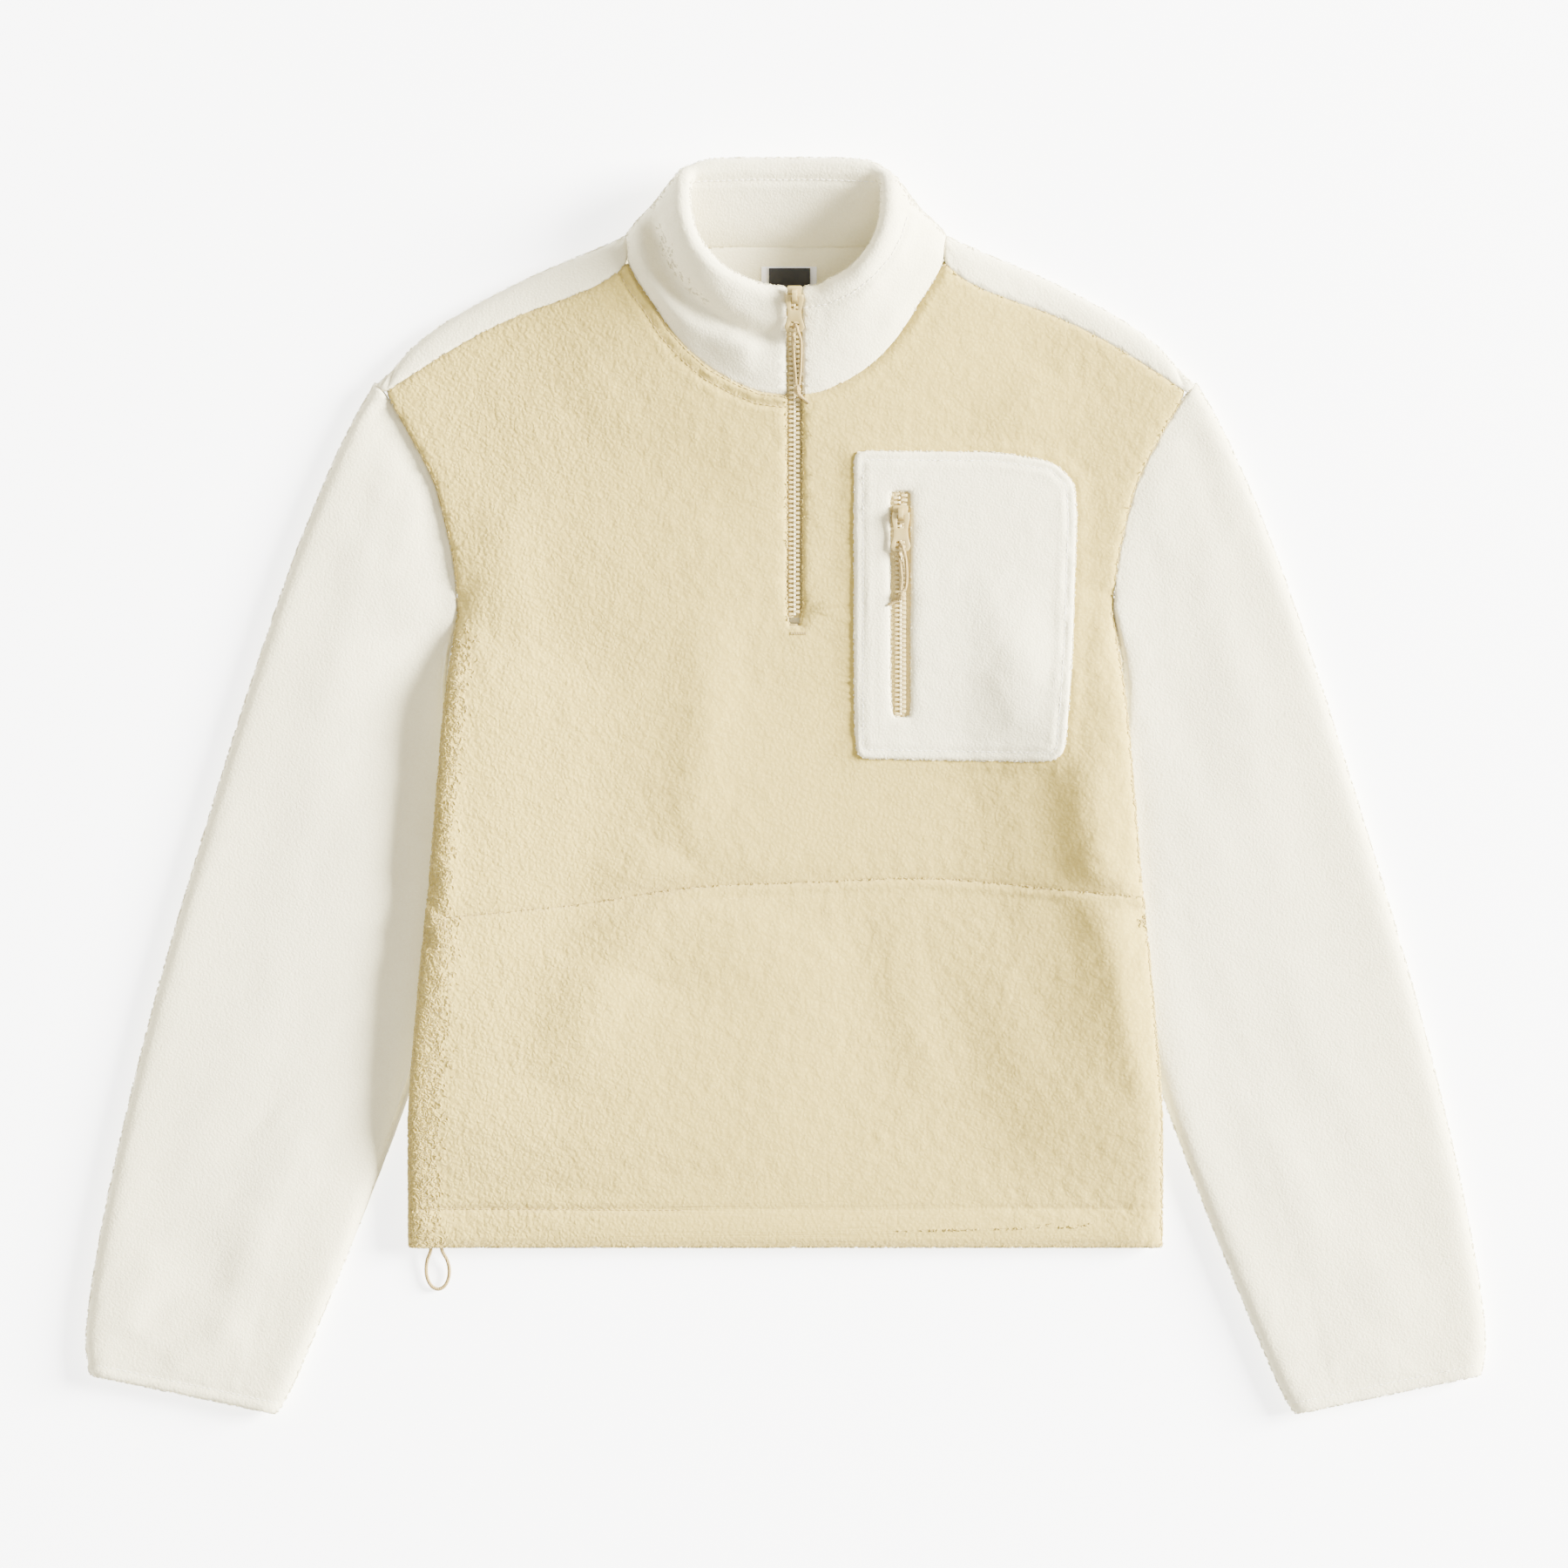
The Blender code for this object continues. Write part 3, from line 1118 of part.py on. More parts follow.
def build_metalwork():
    """Each zip's slider and its pull, standing on the chain."""
    z, slope = line_at(zip_line(), CENTRE_SLIDER_Y)
    base = SLIDER_HEIGHT - CHAIN_RECESS + SEAM_GAP
    place_metalwork("centre", ZIP_X, CENTRE_SLIDER_Y, z, slope, base)
    z, slope = line_at(pocket_zip_line(), POCKET_SLIDER_Y)
    base = TAPE_WALL + POCKET_CHAIN_HEIGHT + 2 * SEAM_GAP + SLIDER_HEIGHT
    place_metalwork("pocket", POCKET_ZIP_X, POCKET_SLIDER_Y, z, slope, base)


def place_metalwork(kind, x, y, z, slope, base):
    up = np.array((-math.sin(slope), math.cos(slope)))
    y0, z0 = (y, z) + up * base
    build_slider(kind + "_zip_slider", x, y0, z0, slope)
    y1, z1 = (y0, z0) + up * PIN_HEIGHT
    build_pull(kind + "_zip_pull", x, y1, z1, slope)


# ---------------------------------------------------------------- cords and labels

def cord_tube(name, route, radius, look):
    """A round cord along a smooth curve through its route's points, as a filled tube."""
    curve = bpy.data.curves.new(name, "CURVE")
    curve.dimensions = "3D"
    curve.bevel_depth = radius * MM
    curve.bevel_resolution = 2
    curve.use_fill_caps = True
    length = sum(math.dist(a, b) for a, b in zip(route, route[1:]))
    count = round(length / (CORD_STEP * radius))
    spline = curve.splines.new("POLY")
    spline.points.add(count)
    for i in range(count + 1):
        x, y, z = smooth_path(route, i / count)
        spline.points[i].co = (x * MM, y * MM, z * MM, 1.0)
    obj = bpy.data.objects.new(name, curve)
    bpy.context.collection.objects.link(obj)
    curve.materials.append(material(name, look))
    return obj


def build_knot(name, rows):
    """A tied knot and its tail: rings of the rows' radius along the path through them."""
    path = np.array([(row.x, row.y, row.z) for row in rows])
    ways = np.gradient(path, axis=0)
    rings = []
    for row, spot, way in zip(rows, path, ways):
        side = np.cross(way, (0.0, 0.0, 1.0))
        side /= np.linalg.norm(side)
        top = np.cross(side, way / np.linalg.norm(way))
        turns = [2.0 * math.pi * k / KNOT_SIDES for k in range(KNOT_SIDES)]
        rings.append([tuple(spot + row.radius * (side * math.cos(turn) + top * math.sin(turn))) for turn in turns])
    return lofted(name, rings, False, TAPE)


def build_label(name, box, low, look):
    """A small woven label, flat on the inside of the back below the neck seam."""
    x0, y0, x1, y1 = box
    outline = evenly([(x0, y0), (x1, y0), (x1, y1), (x0, y1), (x0, y0)], LABEL_STEP)[:-1]
    return plate(name, [outline], low, low + LABEL_WALL, look)


def build_trims():
    low = BACK_WALL + SEAM_GAP
    build_label("neck_label_base", LABEL_BASE, low, WHITE)
    build_label("neck_label", LABEL, low + LABEL_WALL + SEAM_GAP, BLACK)
    cord_tube("hem_drawcord", DRAWCORD_ROUTE, DRAWCORD_RADIUS, TAPE)
    cord_tube("centre_pull_cord", CENTRE_CORD_ROUTE, CORD_RADIUS, TAPE)
    cord_tube("pocket_pull_cord", POCKET_CORD_ROUTE, CORD_RADIUS, TAPE)
    build_knot("centre_pull_knot", CENTRE_KNOT)
    build_knot("pocket_pull_knot", POCKET_KNOT)


# ---------------------------------------------------------------- build

def build():
    clear_scene()
    build_back()
    build_front_upper()
    build_front_lower()
    build_sleeve("right_sleeve", -1)
    build_sleeve("left_sleeve", 1)
    build_collar()
    build_pocket()
    build_zips()
    build_metalwork()
    build_trims()


build()
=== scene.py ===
"""A half-zip fleece pullover laid flat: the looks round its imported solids.

X runs across the garment, Y from the hem to the collar, Z up from the surface. Lengths are metres,
and millimetres in the strokes, the lines on the plan, the stitches and the zips.
"""

import math

import bmesh
import bpy
import numpy as np
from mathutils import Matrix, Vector, noise
from mathutils.bvhtree import BVHTree
from mathutils.kdtree import KDTree


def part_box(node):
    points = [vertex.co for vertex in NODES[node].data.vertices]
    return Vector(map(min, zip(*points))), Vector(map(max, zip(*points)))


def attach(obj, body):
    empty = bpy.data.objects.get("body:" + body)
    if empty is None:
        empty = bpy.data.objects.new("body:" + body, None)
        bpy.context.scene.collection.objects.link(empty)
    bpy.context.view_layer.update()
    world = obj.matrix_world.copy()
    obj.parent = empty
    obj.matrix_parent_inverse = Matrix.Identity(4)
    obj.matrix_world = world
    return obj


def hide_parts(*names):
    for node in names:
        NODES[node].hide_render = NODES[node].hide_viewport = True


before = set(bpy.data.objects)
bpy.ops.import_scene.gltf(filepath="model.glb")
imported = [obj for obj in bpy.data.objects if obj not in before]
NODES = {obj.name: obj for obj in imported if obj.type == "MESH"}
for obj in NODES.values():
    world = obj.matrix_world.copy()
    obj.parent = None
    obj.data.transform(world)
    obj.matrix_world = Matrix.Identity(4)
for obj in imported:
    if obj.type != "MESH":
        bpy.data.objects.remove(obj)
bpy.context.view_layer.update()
MM = 0.001

GARMENT = "garment"
CENTRE_PULL = "centre_pull"
POCKET_PULL = "pocket_pull"

# The camera looks straight down, as the photograph does
CAMERA_HEIGHT = 3.0
CAMERA_LENS = 115.0
CAMERA_REACH = 20.0
VIEW_CENTRE = (-0.001, 0.0016)

# Colours, linear
CREAM = (0.855, 0.808, 0.570)
# Painted shade of the cream pile: the darker colour it takes between its curls
CREAM_PAINTED_SHADE = (0.77, 0.70, 0.45)
TAN = (0.545, 0.427, 0.104)
# Painted shade of the tan pile: the darker colour it takes between its curls
TAN_PAINTED_SHADE = (0.46, 0.345, 0.070)
TAPE = (0.640, 0.515, 0.210)
TEETH = (0.600, 0.480, 0.205)
ENAMEL = (0.440, 0.335, 0.115)
CORD = (0.290, 0.205, 0.062)
THREAD_TAN = (0.380, 0.285, 0.095)
THREAD_CREAM = (0.780, 0.745, 0.650)
BLACK = (0.012, 0.012, 0.014)
WHITE = (0.860, 0.865, 0.900)

# Soft creases: strokes on the plan, in millimetres, that bow to one side
# x0, y0, x1, y1, bend, half width, height
FRONT_CREASES = (
    (-47, 110, -64, -40, 6, 19, 3.0),
    (-64, -40, -132, -180, -8, 25, 3.8),
    (-30, 60, -40, -120, 4, 40, 1.6),
    (-98, -110, -124, -240, -4, 46, 3.6),
    (-26, -66, -66, -230, -6, 54, 2.8),
    (-120, 70, -140, -60, 6, 18, 1.2),
    (-176, 170, -158, 60, 6, 14, 1.3),
    (-205, 20, -206, -150, 3, 9, 1.6),
    (176, 20, 197, -95, -5, 15, 2.2),
    (197, -85, 215, -190, -3, 10, 1.7),
    (154, 20, 176, -110, -5, 13, -1.2),
    (66, -66, 96, -190, -7, 14, 1.3),
    (40, -70, 66, -190, -7, 15, -0.5),
    (128, -80, 150, -190, -6, 14, 0.8),
    (150, 250, 118, 205, 5, 13, 0.9),
    (-120, 262, -84, 205, -6, 14, 1.0),
    (-60, 205, -30, 140, 5, 16, -0.7),
    (-194, 122, -172, 70, -6, 9, 1.3),
    (196, 128, 180, 66, 6, 8, 1.0),
)
# The left sleeve's own, and mirrored on the right sleeve
SLEEVE_CREASES = (
    (236, 216, 256, 150, 5, 9, -0.9),
    (222, 190, 240, 120, -5, 10, 0.8),
    (250, 150, 282, 40, -7, 14, 0.8),
    (225, 66, 250, -20, 6, 12, -0.7),
    (262, 30, 300, -90, 7, 15, 0.7),
    (232, -60, 268, -170, -6, 12, -0.6),
    (300, -90, 334, -200, -6, 14, 0.7),
    (286, -200, 322, -300, 7, 12, 0.6),
)
# The right sleeve's only, towards its cuff
CUFF_CREASES = (
    (-342, -262, -372, -338, 7, 19, -1.3),
    (-316, -250, -344, -330, 6, 17, 1.2),
    (-372, -276, -392, -330, -5, 11, 1.2),
    (-330, -292, -388, -322, -5, 9, -1.3),
    (-322, -318, -372, -340, 4, 8, 1.1),
    (-300, -178, -330, -214, 4, 4, -0.7),
    (-318, -232, -338, -246, 3, 4, -0.6),
)
COLLAR_CREASES = (
    (60, 315, 42, 262, 7, 6, -0.6),
    (26, 262, 60, 300, 5, 6, 0.5),
    (-88, 306, -70, 280, 2, 6, 1.0),
    (-50, 262, -20, 246, 2, 6, 0.9),
)
POCKET_CREASES = (
    (122, 130, 150, 60, -8, 13, 1.3),
    (150, 120, 160, 40, 6, 10, -0.9),
    (118, 70, 138, 34, 4, 10, 0.7),
)
# The fold down the collar's left wall, and the roll of cloth beside it
COLLAR_VALLEY = ((-79, 331), (-77.1, 326.5), (-71.6, 308.7), (-61.9, 297.4), (-49.6, 286.1),
                 (-35, 276.4), (-22, 270.5), (-10, 268.0))
COLLAR_BULGE = ((-86, 322), (-82, 304), (-71, 289), (-56, 276), (-40, 266.5), (-24, 260.5))

# Seams, edges and stitched lines on the plan, in millimetres
HEM_Y = -274.5
HEM_STITCH_Y = HEM_Y + 22.3
HEM_LINE = ((-224, HEM_STITCH_Y), (-60, HEM_STITCH_Y - 0.8))
HEM_LINE_ON = ((-60, HEM_STITCH_Y - 0.8), (90, HEM_STITCH_Y + 0.8), (224, HEM_STITCH_Y))
CUFF = ((304, -374.4), (416, -351))
CROSS_SEAM = ((-219, -79.5), (-190, -77), (-118, -70), (-57, -60), (34, -56.5), (80, -54.5),
              (141, -59.3), (172, -62.4), (213, -66))
POCKET = ((41.5, 199.5), (124, 199), (160, 193.5), (172, 181), (173, 160), (170.5, 85), (165.5, 21),
          (159, 15.5), (45, 17.5), (41.5, 22))
POCKET_STITCH_IN = 4.6
MITRE_LEAST = 0.5
NECK_SEAM = ((10.4, 233.5), (20, 235.5), (33, 241), (48, 249.5), (60.5, 260.5), (71, 273),
             (79.5, 288), (88, 301), (94, 311.5))
NECK_SEAM_LEFT = ((0.0, 233.5), (-16, 235.5), (-29, 241), (-45, 249.5), (-57.5, 260.5), (-69, 273),
                  (-78.5, 288), (-88, 301), (-94, 311.5))
ARMHOLE = ((195.5, 104), (197, 130), (202, 155), (209.5, 183), (221.5, 206), (234, 228),
           (239.5, 235.3))
BODY_SIDE = ((224.5, -274.5), (224, -206), (218, -123), (210, -40), (203, 43), (195.5, 104))
RIM_STITCH = ((2.5, 282.5), (25, 286), (40, 292.5), (52, 302), (62, 313.5), (68.5, 326), (72, 338))
INNER_RIM_STITCH = ((-54, 359.5), (-20, 361), (20, 361), (54, 359.5))
INSEAM = ((218.0, -30), (235, -70), (259, -118), (280, -196), (311, -300), (326, -362))

# How cloth rises beside a line, in millimetres: bells of a distance from it, half width and rise
PRESSED = ((0.0, 1.8, -0.7), (4.3, 2.2, 0.4))
SEAM_ABOVE = ((0.0, 1.5, 0.2), (3.4, 2.2, -0.3))
SEAM_BELOW = ((0.0, 1.5, 0.2), (3.2, 2.2, 0.75), (7.2, 1.6, -0.35))
POCKET_BANK = ((0.0, 4.4, 1.0),)
POCKET_RIM = ((0.0, 1.6, -0.5), (3.0, 2.0, 0.45))
NECK_EDGE = ((0.0, 1.0, -0.5), (3.2, 1.9, 1.1), (7.4, 1.7, -1.0), (11.0, 2.6, 0.4))
SOFT_EDGE = ((0.0, 2.2, -0.6), (5.0, 3.0, 0.5))
HEM_PRESS = ((0.0, 1.7, -0.85), (5.0, 3.5, 0.25))
HEM_FADE = ((0.0, 1.7, -0.35),)
VALLEY = ((0.0, 5.6, -4.0), (0.0, 2.2, -0.8))
BULGE = ((0.0, 6.5, 2.8),)
CUFF_EDGE = ((6.5, 1.6, -0.4), (3.2, 1.8, 0.3))
INSEAM_EDGE = ((0.0, 2.0, -0.22), (4.0, 2.6, 0.16))

# A stroke's points, and how suddenly it fades at its ends
STROKE_STEPS = 8
STROKE_END_POWER = 4

# The cut edges of a solid: how sharp a turn counts as one, how crisp it stays, and the distances
# for joining split vertices and for placing points along it
CUT_ANGLE = math.radians(58)
CUT_SHARPNESS = 0.8
WELD_REACH = 2e-5
RIM_SPACING = 0.003

# How cloth is dressed, with slopes as the upward part of a normal and distances in metres.
# The slopes that have the closest mesh, and those over which the outside's creases come in
TOP_SLOPE = 0.12
OUTSIDE_FROM, OUTSIDE_BAND = 0.1, 0.5
# Where cloth looks down, and the shares of its pile and lumps there
UNDERNEATH, UNDERNEATH_SHARE, UNDERNEATH_LUMPS = -0.3, 0.35, 0.3
# The pile and its lumps at a cut edge, what is added further in, and how far in that is
RIM_PILE, INNER_PILE, PILE_REACH = 0.55, 0.45, 0.005
RIM_LUMPS, INNER_LUMPS = 0.35, 0.65
CREASE_REACH = 0.014
# Finer lumps, as shares of the size and the height of the others
FINE_LUMP_SIZE, FINE_LUMP_SHARE = 0.45, 0.6
NOISE_STEPS = (3.7, 1.3, 5.1)
# The share of its line over which a fall ends, and the heights where the upper layer begins
FALL_END = 0.07
CAVITY_FLOOR, CAVITY_BAND = 0.0042, 0.0035
LOWEST = -0.0005
# The tuck of the body's side edge, in millimetres: its width and start, and its end at the armhole
TUCK_WIDTH, TUCK_START, TUCK_END, TUCK_END_BAND = 6.0, 4.0, 8.0, 20.0

# Curled tufts: rings and sides of each, and the ranges of its bend, its size and its lean
CURL_RINGS = 4
CURL_SIDES = 3
CURL_BEND = (1.6, 3.6)
CURL_SIZE = (0.7, 1.35)
CURL_LEAN = (-0.5, 0.9)
# How far its middle is set back and how high it stands, and how thick it is at its ends and between
CURL_SET_BACK = 0.6
CURL_ARCH = 0.8
CURL_TIP, CURL_BELLY = 0.55, 0.45
# Where tufts stand: the lowest slope of a face, and how the turned edges and the side band end
CURL_FACING, CURL_TURN_BAND = -0.15, 0.25
BAND_FACING, BAND_POWER, BAND_END = -0.1, 4, 40.0
TINY = 1e-12

# Stitches: spindles with so many sides, whose rings are places along and shares of the thickness
THREAD_SIDES = 5
THREAD_RINGS = ((-0.5, 0.35), (-0.25, 1.0), (0.25, 1.0), (0.5, 0.35))
# The lowest slope of cloth that is stitched, and a height above the whole garment, in metres
THREAD_SLOPE = 0.3
ABOVE_ALL = 0.2
TACK_STITCHES, TACK_HALF_WIDTH, TACK_SLANT = 12, 0.9, 0.3
NECK_STITCHES_OUT = (7.4, 1.6)
CUFF_STITCH_UP = 6.5
HIDDEN_SINK = 0.45

# Zips: a tooth on each side of every pitch, and rows that part above the slider
ZIP_X = 5.2
ZIP_STOP_Y = 101.0
POCKET_ZIP_X = 68.5
PITCH = 2.8
TOOTH_START, TOOTH_STAGGER = 0.25, 0.5
PARTING_RATE, PARTING_MOST = 0.12, 0.9
# A tooth's sections: the distance from the zip's middle, half the width and a share of the height
TOOTH_SECTIONS = ((3.3, 0.95, 0.85), (2.3, 1.05, 1.0), (0.6, 0.62, 1.0), (-0.2, 0.95, 0.95),
                  (-0.75, 0.6, 0.6))
TOOTH_LOW, TOOTH_HIGH, TOOTH_TAPER = -0.9, 0.95, 0.8
TOOTH_CORNERS = 4
# The raised cord edges along the middle of a tape, from its right side to its left
TAPE_CORDS = ((3.4, 0.0), (2.9, 0.35), (1.2, 0.35), (0.5, -0.25), (-0.5, -0.25), (-1.2, 0.35),
              (-2.9, 0.35), (-3.4, 0.0))
TAPE_STEP = 3.0
SLOPE_STEP = 1.5

# The centre zip's line: y and height
CENTRE_LINE = ((101.0, 8.9), (149.2, 8.91), (161.2, 9.04), (173.3, 9.82), (185.3, 11.06),
               (197.4, 12.49), (209.4, 13.82), (221.5, 14.78), (233.9, 15.1), (238.7, 16.19),
               (245.9, 18.76), (254.5, 20.99), (263.5, 23.65), (272.5, 27.3), (280.6, 30.7),
               (289.2, 33.79), (292.6, 33.86))

# Cords: points along their routes, in millimetres
CENTRE_CORD_ROUTE = ((6.3, 239.3, 17.4), (5.6, 246.0, 19.5), (5.0, 254.0, 21.6), (4.4, 262.0, 24.1),
                     (4.1, 267.5, 26.4), (4.2, 271.0, 27.5), (4.9, 273.3, 28.9), (5.6, 273.8, 30.8),
                     (6.4, 272.5, 32.3), (7.3, 269.6, 31.3), (8.3, 267.3, 29.0), (9.0, 264.0, 26.0),
                     (9.1, 258.5, 23.3), (8.9, 252.0, 21.2), (8.6, 245.5, 19.4), (8.0, 239.5, 17.4))
POCKET_CORD_ROUTE = ((68.8, 117.3, 13.9), (69.2, 124.0, 13.75), (68.6, 131.0, 13.75),
                     (67.7, 137.0, 13.7), (67.4, 140.9, 13.62), (67.8, 143.4, 14.1),
                     (68.4, 144.5, 15.6), (69.2, 143.7, 17.3), (70.0, 141.0, 17.75),
                     (70.9, 138.4, 16.2), (71.6, 134.5, 14.4), (72.2, 128.5, 13.8),
                     (72.1, 122.0, 13.75), (71.1, 117.5, 13.9))
DRAWCORD_ROUTE = ((-212.0, -275.2, 5.0), (-212.5, -278.2, 4.4), (-214.4, -283.0, 3.1),
                  (-215.2, -288.5, 1.8), (-214.6, -294.0, 1.4), (-211.9, -299.0, 1.4),
                  (-208.0, -300.8, 1.4), (-204.2, -298.9, 1.4), (-201.8, -294.0, 1.4),
                  (-201.4, -288.5, 1.8), (-202.7, -283.0, 3.1), (-205.2, -278.2, 4.4),
                  (-206.0, -275.2, 5.0))
PULL_CORD_RADIUS = 0.95
DRAWCORD_RADIUS = 1.1
CORD_STEPS = 90
CORD_SECTION_STEPS = 3

# Lights: name, place, what it points at, size, watts and colour
LIGHTS = (
    ("key", (8.1, 1.9, 3.22), (0.0, 0.0, 0.0), (3.9, 3.6), 10500.0, (1.0, 0.985, 0.95)),
    ("fill", (-1.6, -0.4, 2.4), (0.0, 0.0, 0.0), (2.4, 2.4), 20.0, (1.0, 0.96, 0.90)),
    ("edge", (-2.7, 0.1, 0.7), (0.0, 0.0, 0.0), (2.2, 0.8), 40.0, (1.0, 0.97, 0.92)),
    ("front", (0.2, -0.9, 2.9), (0.0, 0.25, 0.0), (2.6, 1.6), 38.0, (1.0, 0.98, 0.95)),
)
WORLD_COLOUR = (1.0, 0.952, 0.865)
WORLD_STRENGTH = 0.84
FLOOR_COLOUR = (0.93, 0.94, 0.96)
FLOOR_GLOW = 3.2
FLOOR_REACH = 6.0
FLOOR_LEVEL = -0.0012


# ---------------------------------------------------------------- small helpers

def smooth(value):
    """A smooth step from 0 to 1."""
    t = np.clip(value, 0.0, 1.0)
    return t * t * (3.0 - 2.0 * t)


def bell(distance, half_width):
    """1 at no distance, falling off on both sides."""
    return np.exp(-(distance / half_width) ** 2)


def smooth_path(points, share):
    """The point at a share of the way along a Catmull-Rom curve through the points."""
    pts = np.array(points, dtype=float)
    chords = np.linalg.norm(np.diff(pts, axis=0), axis=1)
    marks = np.concatenate(([0.0], np.cumsum(chords)))
    place = share * marks[-1]
    i = int(min(max(np.searchsorted(marks, place) - 1, 0), len(pts) - 2))
    t = (place - marks[i]) / chords[i]
    before = pts[i - 1] if i > 0 else 2 * pts[0] - pts[1]
    after = pts[i + 2] if i + 2 < len(pts) else 2 * pts[-1] - pts[-2]
    a, b = pts[i], pts[i + 1]
    lead = (b - before) * chords[i] / (np.linalg.norm(a - before) + chords[i])
    tail = (after - a) * chords[i] / (np.linalg.norm(after - b) + chords[i])
    rise = t * t * (3 - 2 * t)
    return a * (1 - rise) + b * rise + t * (1 - t) * (lead * (1 - t) - tail * t)


def link(obj):
    """Puts an object into the scene."""
    bpy.context.scene.collection.objects.link(obj)
    return obj


def mesh_object(name, verts, faces, mat, flat=False):
    """A new mesh in the scene, shaded smooth unless it is flat."""
    mesh = bpy.data.meshes.new(name)
    mesh.from_pydata([tuple(v) for v in verts], [], faces)
    mesh.update()
    if not flat:
        mesh.shade_smooth()
    mesh.materials.append(mat)
    return link(bpy.data.objects.new(name, mesh))


def bent_line(x0, y0, x1, y1, bend):
    """Points along a stroke that bows to one side by bend."""
    length = math.hypot(x1 - x0, y1 - y0)
    nx, ny = (y0 - y1) / length, (x1 - x0) / length
    return [(x0 + (x1 - x0) * t + nx * bend * 4 * t * (1 - t),
             y0 + (y1 - y0) * t + ny * bend * 4 * t * (1 - t))
            for t in (i / STROKE_STEPS for i in range(STROKE_STEPS + 1))]


def distances(points, line):
    """How far each plan point is from a polyline, and its share of the way along it."""
    best = np.full(len(points), np.inf)
    along = np.zeros(len(points))
    pts = np.array(line, dtype=float)
    lengths = np.linalg.norm(np.diff(pts, axis=0), axis=1)
    marks = np.concatenate(([0.0], np.cumsum(lengths)))
    for i in range(len(pts) - 1):
        ab = pts[i + 1] - pts[i]
        t = np.clip(((points - pts[i]) @ ab) / (ab @ ab), 0.0, 1.0)
        away = np.linalg.norm(points - pts[i] - t[:, None] * ab, axis=1)
        closer = away < best
        best = np.where(closer, away, best)
        along = np.where(closer, (marks[i] + t * lengths[i]) / marks[-1], along)
    return best, along


def crease_heights(points, creases):
    """The height that strokes add at plan points. Each stroke fades at both ends."""
    total = np.zeros(len(points))
    for x0, y0, x1, y1, bend, half_width, height in creases:
        away, along = distances(points, bent_line(x0, y0, x1, y1, bend))
        fade = 1.0 - (2.0 * along - 1.0) ** STROKE_END_POWER
        total += height * bell(away, half_width) * fade
    return total


def side_edge(y):
    """How far the body's side edge is from the middle at y, in millimetres."""
    return np.interp(y, [p[1] for p in BODY_SIDE], [p[0] for p in BODY_SIDE])


def mirrored(line):
    """A line on the plan, on the other side of the middle."""
    return tuple((-x, y) for x, y in line)


def mirror_strokes(strokes):
    """Strokes on the plan, on the other side of the middle."""
    return tuple((-x0, y0, -x1, y1, -bend, half_width, height)
                 for x0, y0, x1, y1, bend, half_width, height in strokes)


def offset_loop(points, inwards):
    """A closed outline moved inwards, and closed on itself."""
    pts = np.array(points, dtype=float)
    centre = pts.mean(axis=0)
    out = []
    for i in range(len(pts)):
        before, here, after = pts[i - 1], pts[i], pts[(i + 1) % len(pts)]
        a = (here - before) / np.linalg.norm(here - before)
        b = (after - here) / np.linalg.norm(after - here)
        normal = np.array((-(a + b)[1], (a + b)[0]))
        normal /= np.linalg.norm(normal)
        if normal @ (centre - here) < 0.0:
            normal = -normal
        mitre = max(abs(normal @ np.array((-a[1], a[0]))), MITRE_LEAST)
        out.append(tuple(here + normal * inwards / mitre))
    return out + out[:1]


# ---------------------------------------------------------------- materials

SHEEN_ROUGHNESS = 0.6
COAT_ROUGHNESS = 0.3

# The pile's pattern. Scales are shares of a curl, but TINT_SCALE is a count for each metre
PILE_ROUGHNESS, PILE_SHEEN = 0.95, 0.25
WARP_SCALE, WARP_PUSH, WARP_DETAIL, WARP_ROUGHNESS = 0.45, 1.6, 2.0, 0.55
CURL_SOFTNESS = 0.55
NAP_DETAIL, NAP_ROUGHNESS, NAP_HEIGHT = 4.0, 0.65, 0.45
TINT_SCALE, TINT_DETAIL, TINT_ROUGHNESS, TINT_SHARE = 60.0, 3.0, 0.55, 0.12
# The ramp's ends, from the pile's own colour to its painted shade between the curls
PAINTED_SHADE_START, PAINTED_SHADE_END = 0.30, 1.15
PILE_BUMP, STANDING_BUMP = 0.9, 0.95

WEAVE_SHEEN, WEAVE_SCALE, WEAVE_DISTORTION, WEAVE_BUMP = 0.1, 0.32, 0.6, 0.6


def principled(name, colour, roughness, sheen=0.0, metallic=0.0):
    """A material with its shader's own colour and finish."""
    mat = bpy.data.materials.new(name)
    mat.use_nodes = True
    shader = mat.node_tree.nodes["Principled BSDF"]
    shader.inputs["Base Color"].default_value = (*colour, 1.0)
    shader.inputs["Roughness"].default_value = roughness
    shader.inputs["Metallic"].default_value = metallic
    shader.inputs["Sheen Weight"].default_value = sheen
    shader.inputs["Sheen Roughness"].default_value = SHEEN_ROUGHNESS
    return mat, mat.node_tree, shader


def add(tree, kind, **settings):
    """A shader node with settings, each on its socket where it has one of that name."""
    node = tree.nodes.new(kind)
    for key, value in settings.items():
        if key in node.inputs:
            node.inputs[key].default_value = value
        else:
            setattr(node, key, value)
    return node


